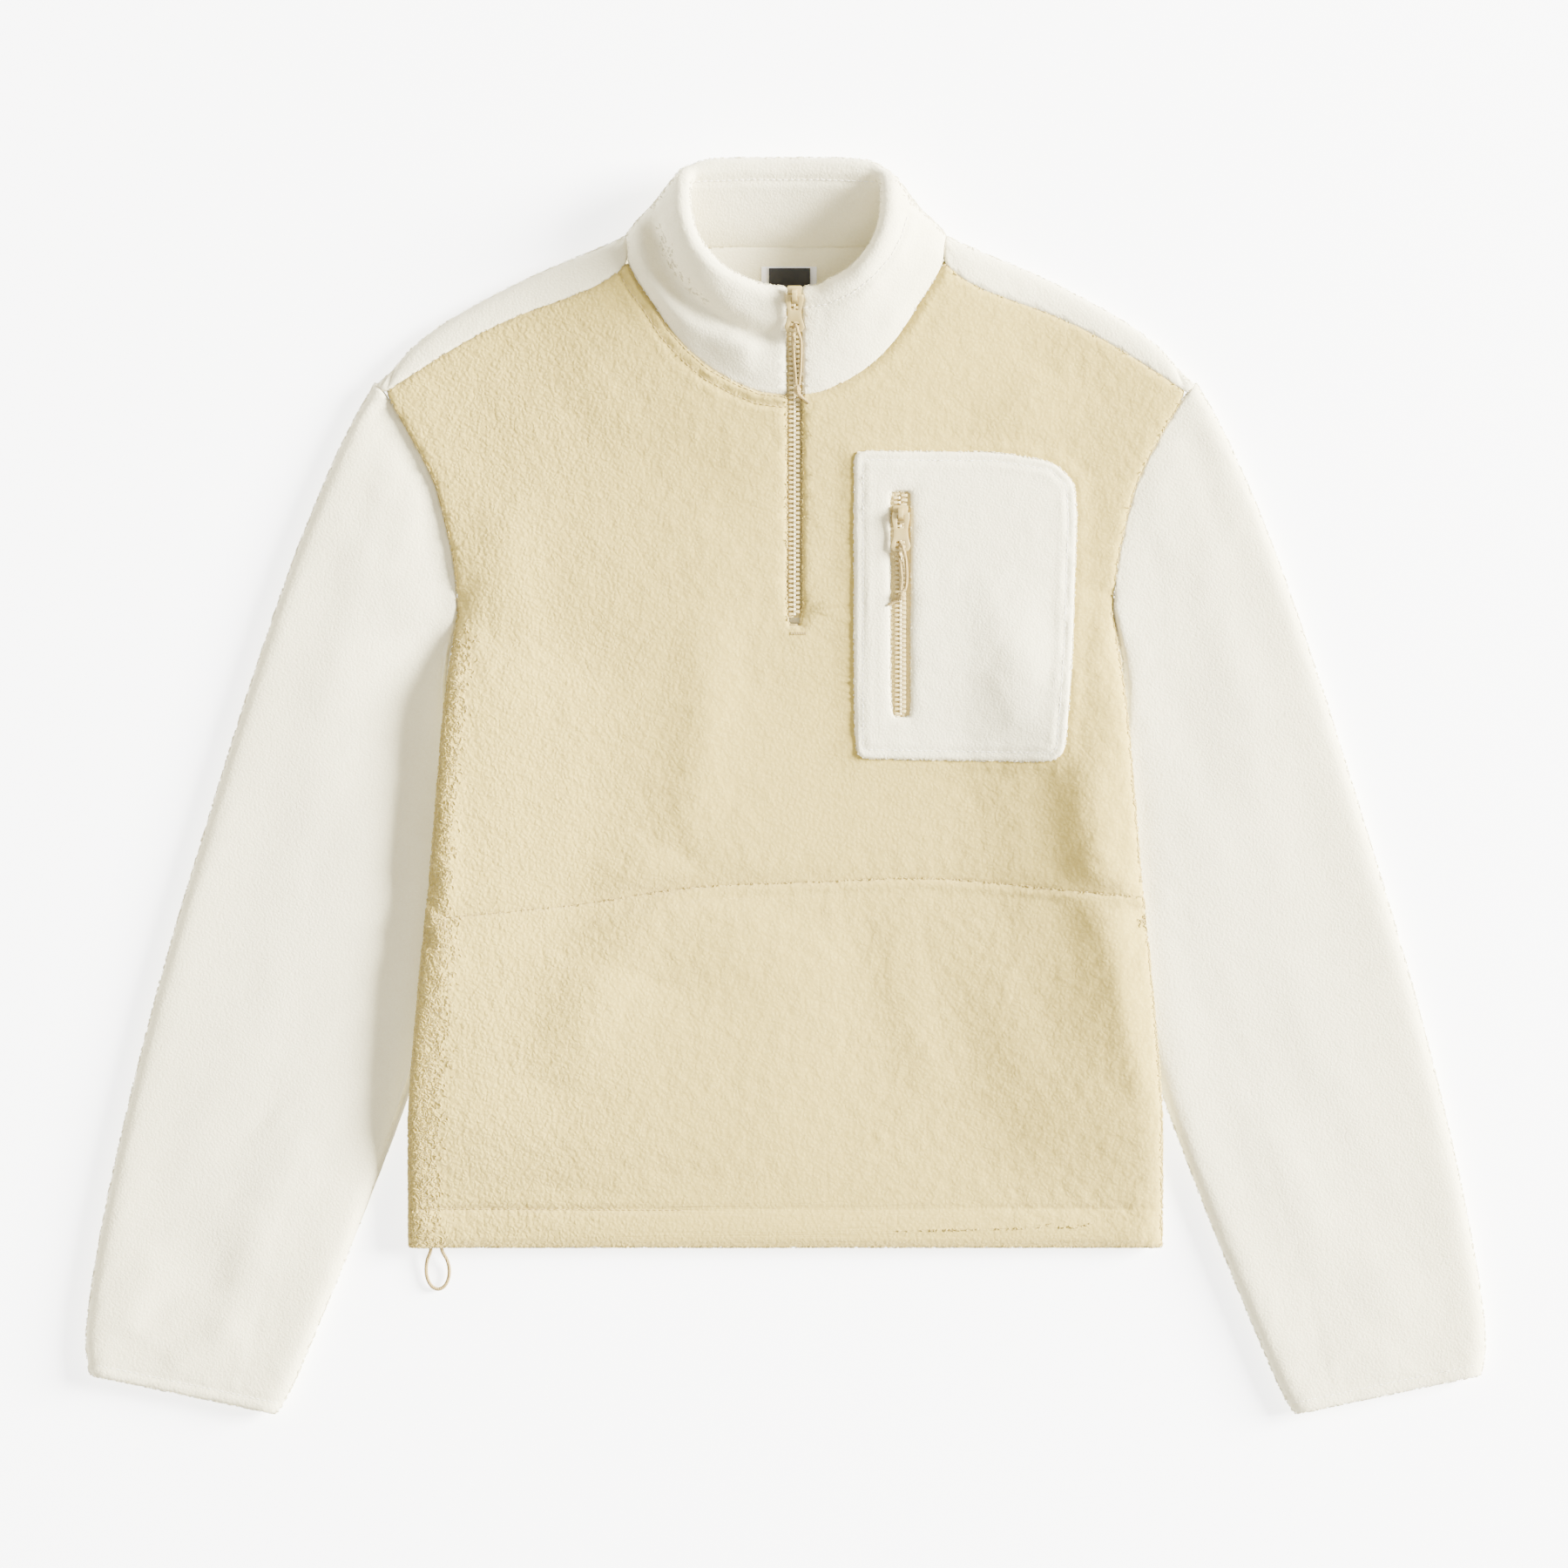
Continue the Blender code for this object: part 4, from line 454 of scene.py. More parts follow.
def fleece(name, colour, shade, painted_shade_share, curl, depth, nap_size, rough_x, smooth_x, worn):
    """Pile: curls of a size, in metres, and a finer nap, with painted shade between the curls.

    The curls stand fully from rough_x leftwards, and lie down to a share, worn, from smooth_x
    rightwards. The colour darkens into painted shade where the curls dip, by a share,
    painted_shade_share, and varies at random with the nap in full.
    """
    mat, tree, shader = principled(name, colour, PILE_ROUGHNESS, sheen=PILE_SHEEN)
    place = add(tree, "ShaderNodeTexCoord")
    warp = add(tree, "ShaderNodeTexNoise", Scale=WARP_SCALE / curl, Detail=WARP_DETAIL,
               Roughness=WARP_ROUGHNESS)
    tree.links.new(place.outputs["Object"], warp.inputs["Vector"])
    push = add(tree, "ShaderNodeVectorMath", operation="MULTIPLY_ADD")
    push.inputs[1].default_value = (curl * WARP_PUSH,) * 3
    tree.links.new(warp.outputs["Color"], push.inputs[0])
    tree.links.new(place.outputs["Object"], push.inputs[2])
    cells = add(tree, "ShaderNodeTexVoronoi", feature="SMOOTH_F1", Scale=1.0 / curl,
                Smoothness=CURL_SOFTNESS)
    tree.links.new(push.outputs[0], cells.inputs["Vector"])
    nap = add(tree, "ShaderNodeTexNoise", Scale=1.0 / nap_size, Detail=NAP_DETAIL,
              Roughness=NAP_ROUGHNESS)
    tree.links.new(push.outputs[0], nap.inputs["Vector"])
    wide = add(tree, "ShaderNodeTexNoise", Scale=TINT_SCALE, Detail=TINT_DETAIL,
               Roughness=TINT_ROUGHNESS)
    tree.links.new(place.outputs["Object"], wide.inputs["Vector"])
    # Painted shade where the curls dip, added to a random variation from the nap
    painted_shade_and_tone = add(tree, "ShaderNodeMath", operation="MULTIPLY_ADD")
    painted_shade_and_tone.inputs[1].default_value = painted_shade_share
    tree.links.new(cells.outputs["Distance"], painted_shade_and_tone.inputs[0])
    tree.links.new(nap.outputs["Fac"], painted_shade_and_tone.inputs[2])
    ramp = add(tree, "ShaderNodeValToRGB")
    stops = zip(ramp.color_ramp.elements, (PAINTED_SHADE_START, PAINTED_SHADE_END), (colour, shade))
    for stop, position, hue in stops:
        stop.position = position
        stop.color = (*hue, 1.0)
    tree.links.new(painted_shade_and_tone.outputs[0], ramp.inputs["Fac"])
    tint = add(tree, "ShaderNodeMixRGB", blend_type="MULTIPLY", Fac=TINT_SHARE)
    tree.links.new(ramp.outputs["Color"], tint.inputs["Color1"])
    tree.links.new(wide.outputs["Fac"], tint.inputs["Color2"])
    tree.links.new(tint.outputs["Color"], shader.inputs["Base Color"])
    low = add(tree, "ShaderNodeMath", operation="MULTIPLY_ADD")
    low.inputs[1].default_value = -1.0
    tree.links.new(cells.outputs["Distance"], low.inputs[0])
    half = add(tree, "ShaderNodeMath", operation="MULTIPLY")
    half.inputs[1].default_value = NAP_HEIGHT
    tree.links.new(nap.outputs["Fac"], half.inputs[0])
    tree.links.new(half.outputs[0], low.inputs[2])
    bump = add(tree, "ShaderNodeBump", Strength=PILE_BUMP, Distance=depth)
    if worn < 1.0:
        axes = add(tree, "ShaderNodeSeparateXYZ")
        tree.links.new(place.outputs["Object"], axes.inputs[0])
        stand = add(tree, "ShaderNodeMapRange", interpolation_type="SMOOTHSTEP")
        ends = (rough_x, smooth_x, STANDING_BUMP, STANDING_BUMP * worn)
        for socket, value in zip(stand.inputs[1:5], ends):
            socket.default_value = value
        tree.links.new(axes.outputs["X"], stand.inputs["Value"])
        tree.links.new(stand.outputs[0], bump.inputs["Strength"])
    tree.links.new(low.outputs[0], bump.inputs["Height"])
    tree.links.new(bump.outputs["Normal"], shader.inputs["Normal"])
    return mat


def woven(name, colour, roughness, rib, depth):
    """A close weave: fine ribs both ways, a rib and a depth in metres."""
    mat, tree, shader = principled(name, colour, roughness, sheen=WEAVE_SHEEN)
    place = add(tree, "ShaderNodeTexCoord")
    both = add(tree, "ShaderNodeMath", operation="ADD")
    for socket, direction in zip(both.inputs, ("X", "Y")):
        wave = add(tree, "ShaderNodeTexWave", bands_direction=direction, Scale=WEAVE_SCALE / rib,
                   Distortion=WEAVE_DISTORTION, Detail=1.0)
        tree.links.new(place.outputs["Object"], wave.inputs["Vector"])
        tree.links.new(wave.outputs["Fac"], socket)
    bump = add(tree, "ShaderNodeBump", Strength=WEAVE_BUMP, Distance=depth)
    tree.links.new(both.outputs[0], bump.inputs["Height"])
    tree.links.new(bump.outputs["Normal"], shader.inputs["Normal"])
    return mat


def plain(name, colour, roughness, metallic=0.0, coat=0.0):
    """One colour and one finish all over."""
    mat, _, shader = principled(name, colour, roughness, metallic=metallic)
    shader.inputs["Coat Weight"].default_value = coat
    shader.inputs["Coat Roughness"].default_value = COAT_ROUGHNESS
    return mat


TAN_PILE = fleece("tan_fleece", TAN, TAN_PAINTED_SHADE, painted_shade_share=0.8, curl=0.0022, depth=0.00065,
                  nap_size=0.0009, rough_x=-0.185, smooth_x=-0.03, worn=0.45)
CREAM_PILE = fleece("cream_fleece", CREAM, CREAM_PAINTED_SHADE, painted_shade_share=0.35, curl=0.0014, depth=0.00022,
                    nap_size=0.0007, rough_x=-1.0, smooth_x=1.0, worn=1.0)
TAPE_CLOTH = woven("zip_tape", TAPE, roughness=0.85, rib=0.0009, depth=0.00015)
TEETH_RESIN = plain("zip_teeth", TEETH, roughness=0.42, coat=0.1)
ENAMEL_PAINT = plain("slider_enamel", ENAMEL, roughness=0.34, metallic=0.15, coat=0.3)
CORD_BRAID = woven("cord_braid", CORD, roughness=0.8, rib=0.0011, depth=0.0002)
LABEL_BLACK = woven("label_black", BLACK, roughness=0.75, rib=0.0006, depth=0.00008)
LABEL_WHITE = woven("label_white", WHITE, roughness=0.75, rib=0.0006, depth=0.00008)
TAN_THREAD = plain("tan_thread", THREAD_TAN, roughness=0.7)
CREAM_THREAD = plain("cream_thread", THREAD_CREAM, roughness=0.7)


# ---------------------------------------------------------------- camera, light and floor

def build_camera():
    """A camera over the garment, left looking straight down."""
    data = bpy.data.cameras.new("camera")
    data.lens = CAMERA_LENS
    data.clip_end = CAMERA_REACH
    camera = link(bpy.data.objects.new("camera", data))
    camera.location = (*VIEW_CENTRE, CAMERA_HEIGHT)
    bpy.context.scene.camera = camera


def area_light(name, place, target, size, power, colour):
    """A rectangular light that points at a target."""
    data = bpy.data.lights.new(name, "AREA")
    data.shape = "RECTANGLE"
    data.size, data.size_y = size
    data.energy = power
    data.color = colour
    lamp = link(bpy.data.objects.new(name, data))
    lamp.location = place
    aim = Vector(target) - Vector(place)
    lamp.rotation_euler = aim.to_track_quat("-Z", "Y").to_euler()


def build_stage():
    """The lights, the pale surround and the glowing white floor under the garment."""
    for light in LIGHTS:
        area_light(*light)
    world = bpy.data.worlds.new("studio")
    world.use_nodes = True
    background = world.node_tree.nodes["Background"]
    background.inputs["Color"].default_value = (*WORLD_COLOUR, 1.0)
    background.inputs["Strength"].default_value = WORLD_STRENGTH
    bpy.context.scene.world = world
    mat, _, shader = principled("floor_paper", FLOOR_COLOUR, roughness=0.95)
    shader.inputs["Emission Color"].default_value = (1.0, 1.0, 1.0, 1.0)
    shader.inputs["Emission Strength"].default_value = FLOOR_GLOW
    corners = [(x * FLOOR_REACH, y * FLOOR_REACH, FLOOR_LEVEL)
               for x, y in ((-1, -1), (1, -1), (1, 1), (-1, 1))]
    floor = mesh_object("floor", corners, [(0, 1, 2, 3)], mat)


# ---------------------------------------------------------------- cords

def tube_along(name, route, radius):
    """A cord as a curve with a round section, through the route's points, and its length."""
    curve = bpy.data.curves.new(name, "CURVE")
    curve.dimensions = "3D"
    curve.bevel_depth = radius * MM
    curve.bevel_resolution = CORD_SECTION_STEPS
    curve.use_fill_caps = True
    spline = curve.splines.new("POLY")
    spline.points.add(CORD_STEPS)
    length = 0.0
    last = None
    for i in range(CORD_STEPS + 1):
        spot = smooth_path(route, i / CORD_STEPS) * MM
        spline.points[i].co = (*spot, 1.0)
        length += 0.0 if last is None else float(np.linalg.norm(spot - last))
        last = spot
    curve.materials.append(CORD_BRAID)
    return link(bpy.data.objects.new(name, curve)), length


def build_cord(name, node, route, radius, body):
    """A braided cord that stands for its node and moves with its body."""
    cord, length = tube_along(name, route, radius)
    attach(cord, body)
    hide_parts(node)


# ---------------------------------------------------------------- cloth shells

def welded_copy(node, sharp=CUT_SHARPNESS):
    """The node's mesh, its split vertices joined and its cut edges creased by a share, sharp."""
    bm = bmesh.new()
    bm.from_mesh(NODES[node].data)
    bmesh.ops.remove_doubles(bm, verts=bm.verts, dist=WELD_REACH)
    crease = bm.edges.layers.float.new("crease_edge")
    for edge in bm.edges:
        if len(edge.link_faces) == 2 and edge.calc_face_angle() > CUT_ANGLE:
            edge[crease] = sharp
    return bm


def refined(name, node, levels, fine, sharp):
    """The node's form as a smooth close mesh, closer still where fine(normal) holds."""
    bm = welded_copy(node, sharp)
    mesh = bpy.data.meshes.new(name)
    bm.to_mesh(mesh)
    bm.free()
    obj = link(bpy.data.objects.new(name, mesh))
    smoother = obj.modifiers.new("smooth", "SUBSURF")
    smoother.levels = levels
    smoother.render_levels = levels
    evaluated = obj.evaluated_get(bpy.context.evaluated_depsgraph_get())
    dense = bpy.data.meshes.new_from_object(evaluated)
    obj.modifiers.clear()
    obj.data = dense
    bpy.data.meshes.remove(mesh)
    if fine:
        bm = bmesh.new()
        bm.from_mesh(dense)
        edges = {edge for face in bm.faces if fine(face.normal) for edge in face.edges}
        bmesh.ops.subdivide_edges(bm, edges=list(edges), cuts=1, use_grid_fill=True)
        bm.to_mesh(dense)
        bm.free()
    dense.shade_smooth()
    return obj


def arrays(mesh):
    """The places and the normals of a mesh's vertices."""
    co = np.empty(len(mesh.vertices) * 3)
    mesh.vertices.foreach_get("co", co)
    no = np.empty(len(mesh.vertices) * 3)
    mesh.vertices.foreach_get("normal", no)
    return co.reshape(-1, 3), no.reshape(-1, 3)


def noise_field(points, size, seed):
    """Smooth noise of a wavelength, from -1 to 1, at each point."""
    offset = Vector(tuple(seed * step for step in NOISE_STEPS))
    return np.array([noise.noise(Vector(p) / size + offset) for p in points])


def rim_distance(node, co):
    """How far each point is from the node's cut edges, in metres."""
    bm = welded_copy(node)
    crease = bm.edges.layers.float["crease_edge"]
    spots = []
    for edge in bm.edges:
        if edge[crease] > 0.0:
            a, b = edge.verts[0].co, edge.verts[1].co
            count = max(1, int((b - a).length / RIM_SPACING))
            spots += [a.lerp(b, i / count) for i in range(count + 1)]
    bm.free()
    tree = KDTree(len(spots))
    for i, spot in enumerate(spots):
        tree.insert(spot, i)
    tree.balance()
    return np.array([tree.find(Vector(p))[2] for p in co])


def dress(node, creases=(), lines=(), falls=(), *, pile, lump, lump_size, seed, mat, tuck=0.0,
          levels=2, fine=None, sharp=CUT_SHARPNESS):
    """A sewn piece on its solid's form: its pile raised, its creases laid and its lines pressed in.

    Each line comes with its bells. Each fall is a line, a half width and a drop: the upper layer is
    lower beside the line, and higher where the drop is negative. The body's side edge is drawn in
    by tuck, in millimetres. The pile, the lumps and their size are in metres. The mesh is divided
    by levels, and once more where fine holds.
    """
    obj = refined(node + "_fleece", node, levels, fine, sharp)
    co, no = arrays(obj.data)
    slope = no[:, 2]
    plan = co[:, :2] / MM
    outside = smooth((slope - OUTSIDE_FROM) / OUTSIDE_BAND)
    rim = rim_distance(node, co)
    inner = smooth(rim / PILE_REACH)
    height = crease_heights(plan, creases) * MM * smooth(rim / CREASE_REACH) * outside
    for line, profile in lines:
        gap, _ = distances(plan, line)
        for offset, half_width, rise in profile:
            height += rise * MM * bell(gap - offset, half_width) * outside
    upper = smooth((co[:, 2] - CAVITY_FLOOR) / CAVITY_BAND)
    for line, half_width, drop in falls:
        gap, along = distances(plan, line)
        height -= drop * MM * bell(gap, half_width) * upper * smooth((1.0 - along) / FALL_END)
    lumps = noise_field(co, lump_size, seed)
    lumps = lumps + FINE_LUMP_SHARE * noise_field(co, lump_size * FINE_LUMP_SIZE, seed + 1)
    lift = pile * (RIM_PILE + INNER_PILE * inner)
    lift = lift + (lump * lumps * (RIM_LUMPS + INNER_LUMPS * inner)
                   * np.where(slope > UNDERNEATH, 1.0, UNDERNEATH_LUMPS))
    lift = np.where(slope < UNDERNEATH, lift * UNDERNEATH_SHARE, lift)
    moved = co + no * lift[:, None]
    edge = smooth((np.abs(plan[:, 0]) - side_edge(plan[:, 1]) + TUCK_WIDTH) / TUCK_START)
    edge *= smooth((BODY_SIDE[-1][1] + TUCK_END - plan[:, 1]) / TUCK_END_BAND)
    moved[:, 0] -= np.sign(co[:, 0]) * edge * tuck * MM
    moved[:, 2] += height
    moved[:, 2] = np.maximum(moved[:, 2], LOWEST)
    obj.data.vertices.foreach_set("co", moved.ravel())
    obj.data.update()
    obj.data.materials.clear()
    obj.data.materials.append(mat)
    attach(obj, GARMENT)
    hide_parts(node)
    return obj


def top_side(normal):
    """Whether a face looks up, with the steepest sides left out."""
    return normal.z > TOP_SLOPE


def build_cloth():
    """Each sewn piece as a thin shell on its solid's form."""
    far_side, far_armhole = mirrored(BODY_SIDE), mirrored(ARMHOLE)
    front = dict(falls=((far_side, 11.0, -2.2), (BODY_SIDE, 9.0, 0.8)), tuck=-0.5, pile=0.0009,
                 lump=0.00036, lump_size=0.0065, mat=TAN_PILE, fine=top_side)
    sleeve = dict(pile=0.0005, lump=0.0002, lump_size=0.009, mat=CREAM_PILE)
    made = {}
    made["front_upper"] = dress(
        "front_upper", FRONT_CREASES,
        ((CROSS_SEAM, SEAM_ABOVE), (NECK_SEAM, SOFT_EDGE), (NECK_SEAM_LEFT, NECK_EDGE),
         (offset_loop(POCKET, -3.0), POCKET_BANK)), seed=1, **front)
    made["front_lower"] = dress(
        "front_lower", FRONT_CREASES,
        ((CROSS_SEAM, SEAM_BELOW), (HEM_LINE, HEM_PRESS), (HEM_LINE_ON, HEM_FADE)), seed=3, **front)
    made["back"] = dress(
        "back", tuck=1.6, pile=0.0005, lump=0.00018, lump_size=0.009, seed=5, mat=CREAM_PILE)
    made["left_sleeve"] = dress(
        "left_sleeve", SLEEVE_CREASES, ((INSEAM, INSEAM_EDGE), (CUFF, CUFF_EDGE)),
        ((BODY_SIDE, 9.0, 1.5), (ARMHOLE, 7.0, 0.8)), seed=8, **sleeve)
    made["right_sleeve"] = dress(
        "right_sleeve", mirror_strokes(SLEEVE_CREASES) + CUFF_CREASES,
        ((mirrored(INSEAM), INSEAM_EDGE), (mirrored(CUFF), CUFF_EDGE)),
        ((far_side, 34.0, 6.2), (far_armhole, 19.0, 3.4)), seed=6, **sleeve)
    made["collar"] = dress(
        "collar", COLLAR_CREASES,
        ((RIM_STITCH, PRESSED), (INNER_RIM_STITCH, PRESSED), (COLLAR_VALLEY, VALLEY),
         (COLLAR_BULGE, BULGE)),
        pile=0.0005, lump=0.0002, lump_size=0.008, seed=11, mat=CREAM_PILE)
    made["chest_pocket"] = dress(
        "chest_pocket", POCKET_CREASES, ((offset_loop(POCKET, POCKET_STITCH_IN), POCKET_RIM),),
        pile=0.0011, lump=0.0002, lump_size=0.008, seed=13, mat=CREAM_PILE, levels=3, sharp=0.35)
    return made


# ---------------------------------------------------------------- pile that stands off the cloth

def build_curls(name, shell, count, seed, mat, radius, thickness, reach, highest=1.0,
                band=0.0):
    """Short bent tufts on a shell, where its normals point less than highest upwards.

    Where band is given they stand instead on the top, within about that many millimetres of the
    far side edge.
    """
    rng = np.random.default_rng(seed)
    mesh = shell.data
    mesh.calc_loop_triangles()
    tris = np.empty(len(mesh.loop_triangles) * 3, dtype=int)
    mesh.loop_triangles.foreach_get("vertices", tris)
    tris = tris.reshape(-1, 3)
    co, no = arrays(mesh)
    a, b, c = co[tris[:, 0]], co[tris[:, 1]], co[tris[:, 2]]
    cross = np.cross(b - a, c - a)
    area = np.linalg.norm(cross, axis=1)
    facing = cross[:, 2] / np.maximum(area, TINY)
    if band:
        middle = (a + b + c) / 3.0 / MM
        inside = np.maximum(middle[:, 0] + side_edge(middle[:, 1]), 0.0)
        weight = area * (facing > BAND_FACING) * np.exp(-(inside / band) ** BAND_POWER)
        weight *= smooth((BODY_SIDE[-1][1] - middle[:, 1]) / BAND_END)
    else:
        turned = no[tris].mean(axis=1)[:, 2]
        weight = area * (facing > CURL_FACING) * smooth((highest - turned) / CURL_TURN_BAND)
    pick = rng.choice(len(tris), count, p=weight / weight.sum())
    u, v = rng.random(count), rng.random(count)
    flip = u + v > 1.0
    u, v = np.where(flip, 1.0 - u, u)[:, None], np.where(flip, 1.0 - v, v)[:, None]
    spots = a[pick] + u * (b - a)[pick] + v * (c - a)[pick]
    up = no[tris[pick]].mean(axis=1)
    up /= np.linalg.norm(up, axis=1)[:, None]
    side = np.cross(up, rng.normal(size=(count, 3)))
    side /= np.linalg.norm(side, axis=1)[:, None]
    fore = np.cross(up, side)
    bend = rng.uniform(*CURL_BEND, count)[:, None]
    size = radius * rng.uniform(*CURL_SIZE, count)[:, None]
    lean = rng.uniform(*CURL_LEAN, count)[:, None]
    rings = []
    for r in range(CURL_RINGS):
        t = r / (CURL_RINGS - 1)
        arch = math.sin(math.pi * t)
        turn = bend * (t - 0.5)
        middle = spots + size * (np.cos(turn) * side + np.sin(turn) * fore)
        middle -= size * CURL_SET_BACK * side
        middle += up * (reach * (arch * CURL_ARCH + lean * t))
        ahead = -np.sin(turn) * side + np.cos(turn) * fore
        across = np.cross(ahead, up)
        thick = thickness * (CURL_TIP + CURL_BELLY * arch)
        for k in range(CURL_SIDES):
            angle = 2.0 * math.pi * k / CURL_SIDES
            rings.append(middle + thick * (math.cos(angle) * across + math.sin(angle) * up))
    size_each = CURL_RINGS * CURL_SIDES
    verts = np.stack(rings, axis=1).reshape(-1, 3)
    verts[:, 2] = np.maximum(verts[:, 2], 0.0)
    unit = []
    for r in range(CURL_RINGS - 1):
        for k in range(CURL_SIDES):
            p, q = r * CURL_SIDES + k, r * CURL_SIDES + (k + 1) % CURL_SIDES
            unit += [(p, q, q + CURL_SIDES), (p, q + CURL_SIDES, p + CURL_SIDES)]
    last = size_each - CURL_SIDES
    unit += [(2, 1, 0), (last, last + 1, last + 2)]
    firsts = (np.arange(count) * size_each)[:, None, None]
    faces = (np.array(unit)[None, :, :] + firsts).reshape(-1, 3)
    tufts = mesh_object(name, verts, faces.tolist(), mat)
    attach(tufts, GARMENT)


def build_pile(cloth):
    """Curls on the tan fleece's edges and far side, and a short nap on the cream fleece's edges."""
    for seed, node in ((21, "front_upper"), (22, "front_lower")):
        build_curls(node + "_curls", cloth[node], 3600, seed, TAN_PILE,
                    radius=0.0011, thickness=0.00034, reach=0.00045, highest=0.7)
    for seed, node, count, band in ((23, "front_upper", 1400, 11.0),
                                    (24, "front_lower", 3000, 16.0)):
        build_curls(node + "_side_curls", cloth[node], count, seed, TAN_PILE,
                    radius=0.0012, thickness=0.00034, reach=0.00034, band=band)
    for seed, node, count in ((31, "left_sleeve", 2400), (32, "right_sleeve", 2400),
                              (33, "collar", 1600), (34, "back", 1200), (35, "chest_pocket", 900)):
        build_curls(node + "_nap", cloth[node], count, seed, CREAM_PILE,
                    radius=0.0009, thickness=0.00028, reach=0.0005, highest=0.6)


# ---------------------------------------------------------------- stitches

def surface_tree(shell):
    """A shell's surface, for finding the height of the cloth at a plan point."""
    bm = bmesh.new()
    bm.from_mesh(shell.data)
    tree = BVHTree.FromBMesh(bm)
    bm.free()
    return tree


def top_at(tree, spot):
    """The highest point of a surface at a plan point, and its normal."""
    above = Vector((spot[0] * MM, spot[1] * MM, ABOVE_ALL))
    return tree.ray_cast(above, Vector((0.0, 0.0, -1.0)))[:2]


def along_line(line, spacing):
    """Points and directions every so many millimetres along a polyline on the plan."""
    pts = np.array(line, dtype=float)
    lengths = np.linalg.norm(np.diff(pts, axis=0), axis=1)
    marks = np.concatenate(([0.0], np.cumsum(lengths)))
    count = int(marks[-1] / spacing)
    out = []
    for i in range(count):
        place = spacing * (i + 0.5)
        k = int(min(np.searchsorted(marks, place) - 1, len(lengths) - 1))
        way = (pts[k + 1] - pts[k]) / lengths[k]
        out.append((pts[k] + way * (place - marks[k]), way))
    return out


def shifted(line, offset):
    """A polyline moved sideways on the plan: to its right where the offset is positive."""
    pts = np.array(line, dtype=float)
    ways = np.gradient(pts, axis=0)
    ways /= np.linalg.norm(ways, axis=1)[:, None]
    return [tuple(p + offset * np.array((w[1], -w[0]))) for p, w in zip(pts, ways)]


def build_stitches(name, shell, lines, mat, slot, length=3.0, radius=0.32, spacing=3.7, sink=0.12):
    """Threads along lines on the cloth, one closed spindle for each stitch, in millimetres."""
    tree = surface_tree(shell)
    verts, faces = [], []
    corners = range(THREAD_SIDES)
    for line in lines:
        for spot, way in along_line(line, spacing):
            here, normal = top_at(tree, spot)
            ahead, _ = top_at(tree, spot + way)
            if here is None or ahead is None or normal.z < THREAD_SLOPE:
                continue
            base = np.array(here) / MM
            along = np.array(ahead) / MM - base
            along /= np.linalg.norm(along)
            up = np.array(normal)
            across = np.cross(along, up)
            across /= np.linalg.norm(across)
            first = len(verts)
            for share, thick in THREAD_RINGS:
                for k in corners:
                    angle = 2.0 * math.pi * k / THREAD_SIDES
                    ring = across * math.cos(angle) + up * math.sin(angle)
                    verts.append((base + along * length * share + up * (radius - sink)
                                  + ring * radius * thick) * MM)
            for r in range(len(THREAD_RINGS) - 1):
                start = first + THREAD_SIDES * r
                for k in corners:
                    p, q = start + k, start + (k + 1) % THREAD_SIDES
                    faces.append((p, p + THREAD_SIDES, q + THREAD_SIDES, q))
            last = len(verts) - THREAD_SIDES
            faces.append(tuple(first + k for k in corners))
            faces.append(tuple(last + k for k in reversed(corners)))
    threads = mesh_object(name, verts, faces, mat)
    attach(threads, GARMENT)


def build_bar_tack(name, shell, x, y, length, turn, slot):
    """A short bar of close zigzag thread, turned by degrees."""
    way = np.array((math.cos(math.radians(turn)), math.sin(math.radians(turn))))
    side = np.array((-way[1], way[0])) * TACK_HALF_WIDTH
    centre = np.array((x, y), dtype=float)
    lines = [[tuple(centre + way * t - side), tuple(centre + way * t + side + way * TACK_SLANT)]
             for t in np.linspace(-length / 2, length / 2, TACK_STITCHES)]
    build_stitches(name, shell, lines, TAN_THREAD, slot, length=1.8, radius=0.26, spacing=1.75,
                   sink=0.0)


def build_sewing(cloth):
    """The stitched lines that show, and two bar tacks."""
    def sew(name, node, lines, mat, **settings):
        build_stitches(name, cloth[node], lines, mat, node, **settings)

    sew("hem_stitches", "front_lower", [HEM_LINE], TAN_THREAD, sink=0.22)
    sew("neck_seam_stitches", "front_upper",
        [shifted(NECK_SEAM_LEFT, -out) for out in NECK_STITCHES_OUT], TAN_THREAD)
    sew("pocket_stitches", "chest_pocket", [offset_loop(POCKET, POCKET_STITCH_IN)], CREAM_THREAD,
        sink=HIDDEN_SINK)
    sew("left_cuff_stitches", "left_sleeve", [shifted(CUFF, -CUFF_STITCH_UP)], CREAM_THREAD,
        sink=HIDDEN_SINK)
    sew("right_cuff_stitches", "right_sleeve", [shifted(mirrored(CUFF), CUFF_STITCH_UP)],
        CREAM_THREAD, sink=HIDDEN_SINK)
    sew("collar_stitches", "collar", [RIM_STITCH, INNER_RIM_STITCH], CREAM_THREAD)
    build_bar_tack("zip_bar_tack", cloth["front_upper"], x=7.5, y=91.5, length=9.0, turn=0.0,
                   slot="front_upper")
    build_bar_tack("seam_bar_tack", cloth["front_lower"], x=-203.0, y=-82.0, length=6.0, turn=90.0,
                   slot="front_lower")


# ---------------------------------------------------------------- zips

def line_frame(line, y):
    """The point and the directions along and out of a zip's line at y."""
    ys = [p[0] for p in line]
    zs = [p[1] for p in line]
    z = float(np.interp(y, ys, zs))
    rise = float(np.interp(y + SLOPE_STEP, ys, zs) - np.interp(y - SLOPE_STEP, ys, zs))
    rise /= 2.0 * SLOPE_STEP
    along = np.array((0.0, 1.0, rise)) / math.hypot(1.0, rise)
    return np.array((0.0, y, z)), along, np.array((0.0, -along[2], along[1]))


def tooth(side, spread):
    """A moulded tooth: a broad foot on its tape and a narrower head past the middle, as rings."""
    rings = []
    for across, half, tall in TOOTH_SECTIONS:
        x = side * (across + spread)
        low, high, narrow = TOOTH_LOW * tall, TOOTH_HIGH * tall, half * TOOTH_TAPER
        rings.append([(x, -half, low), (x, -narrow, high), (x, narrow, high), (x, half, low)])
    return rings


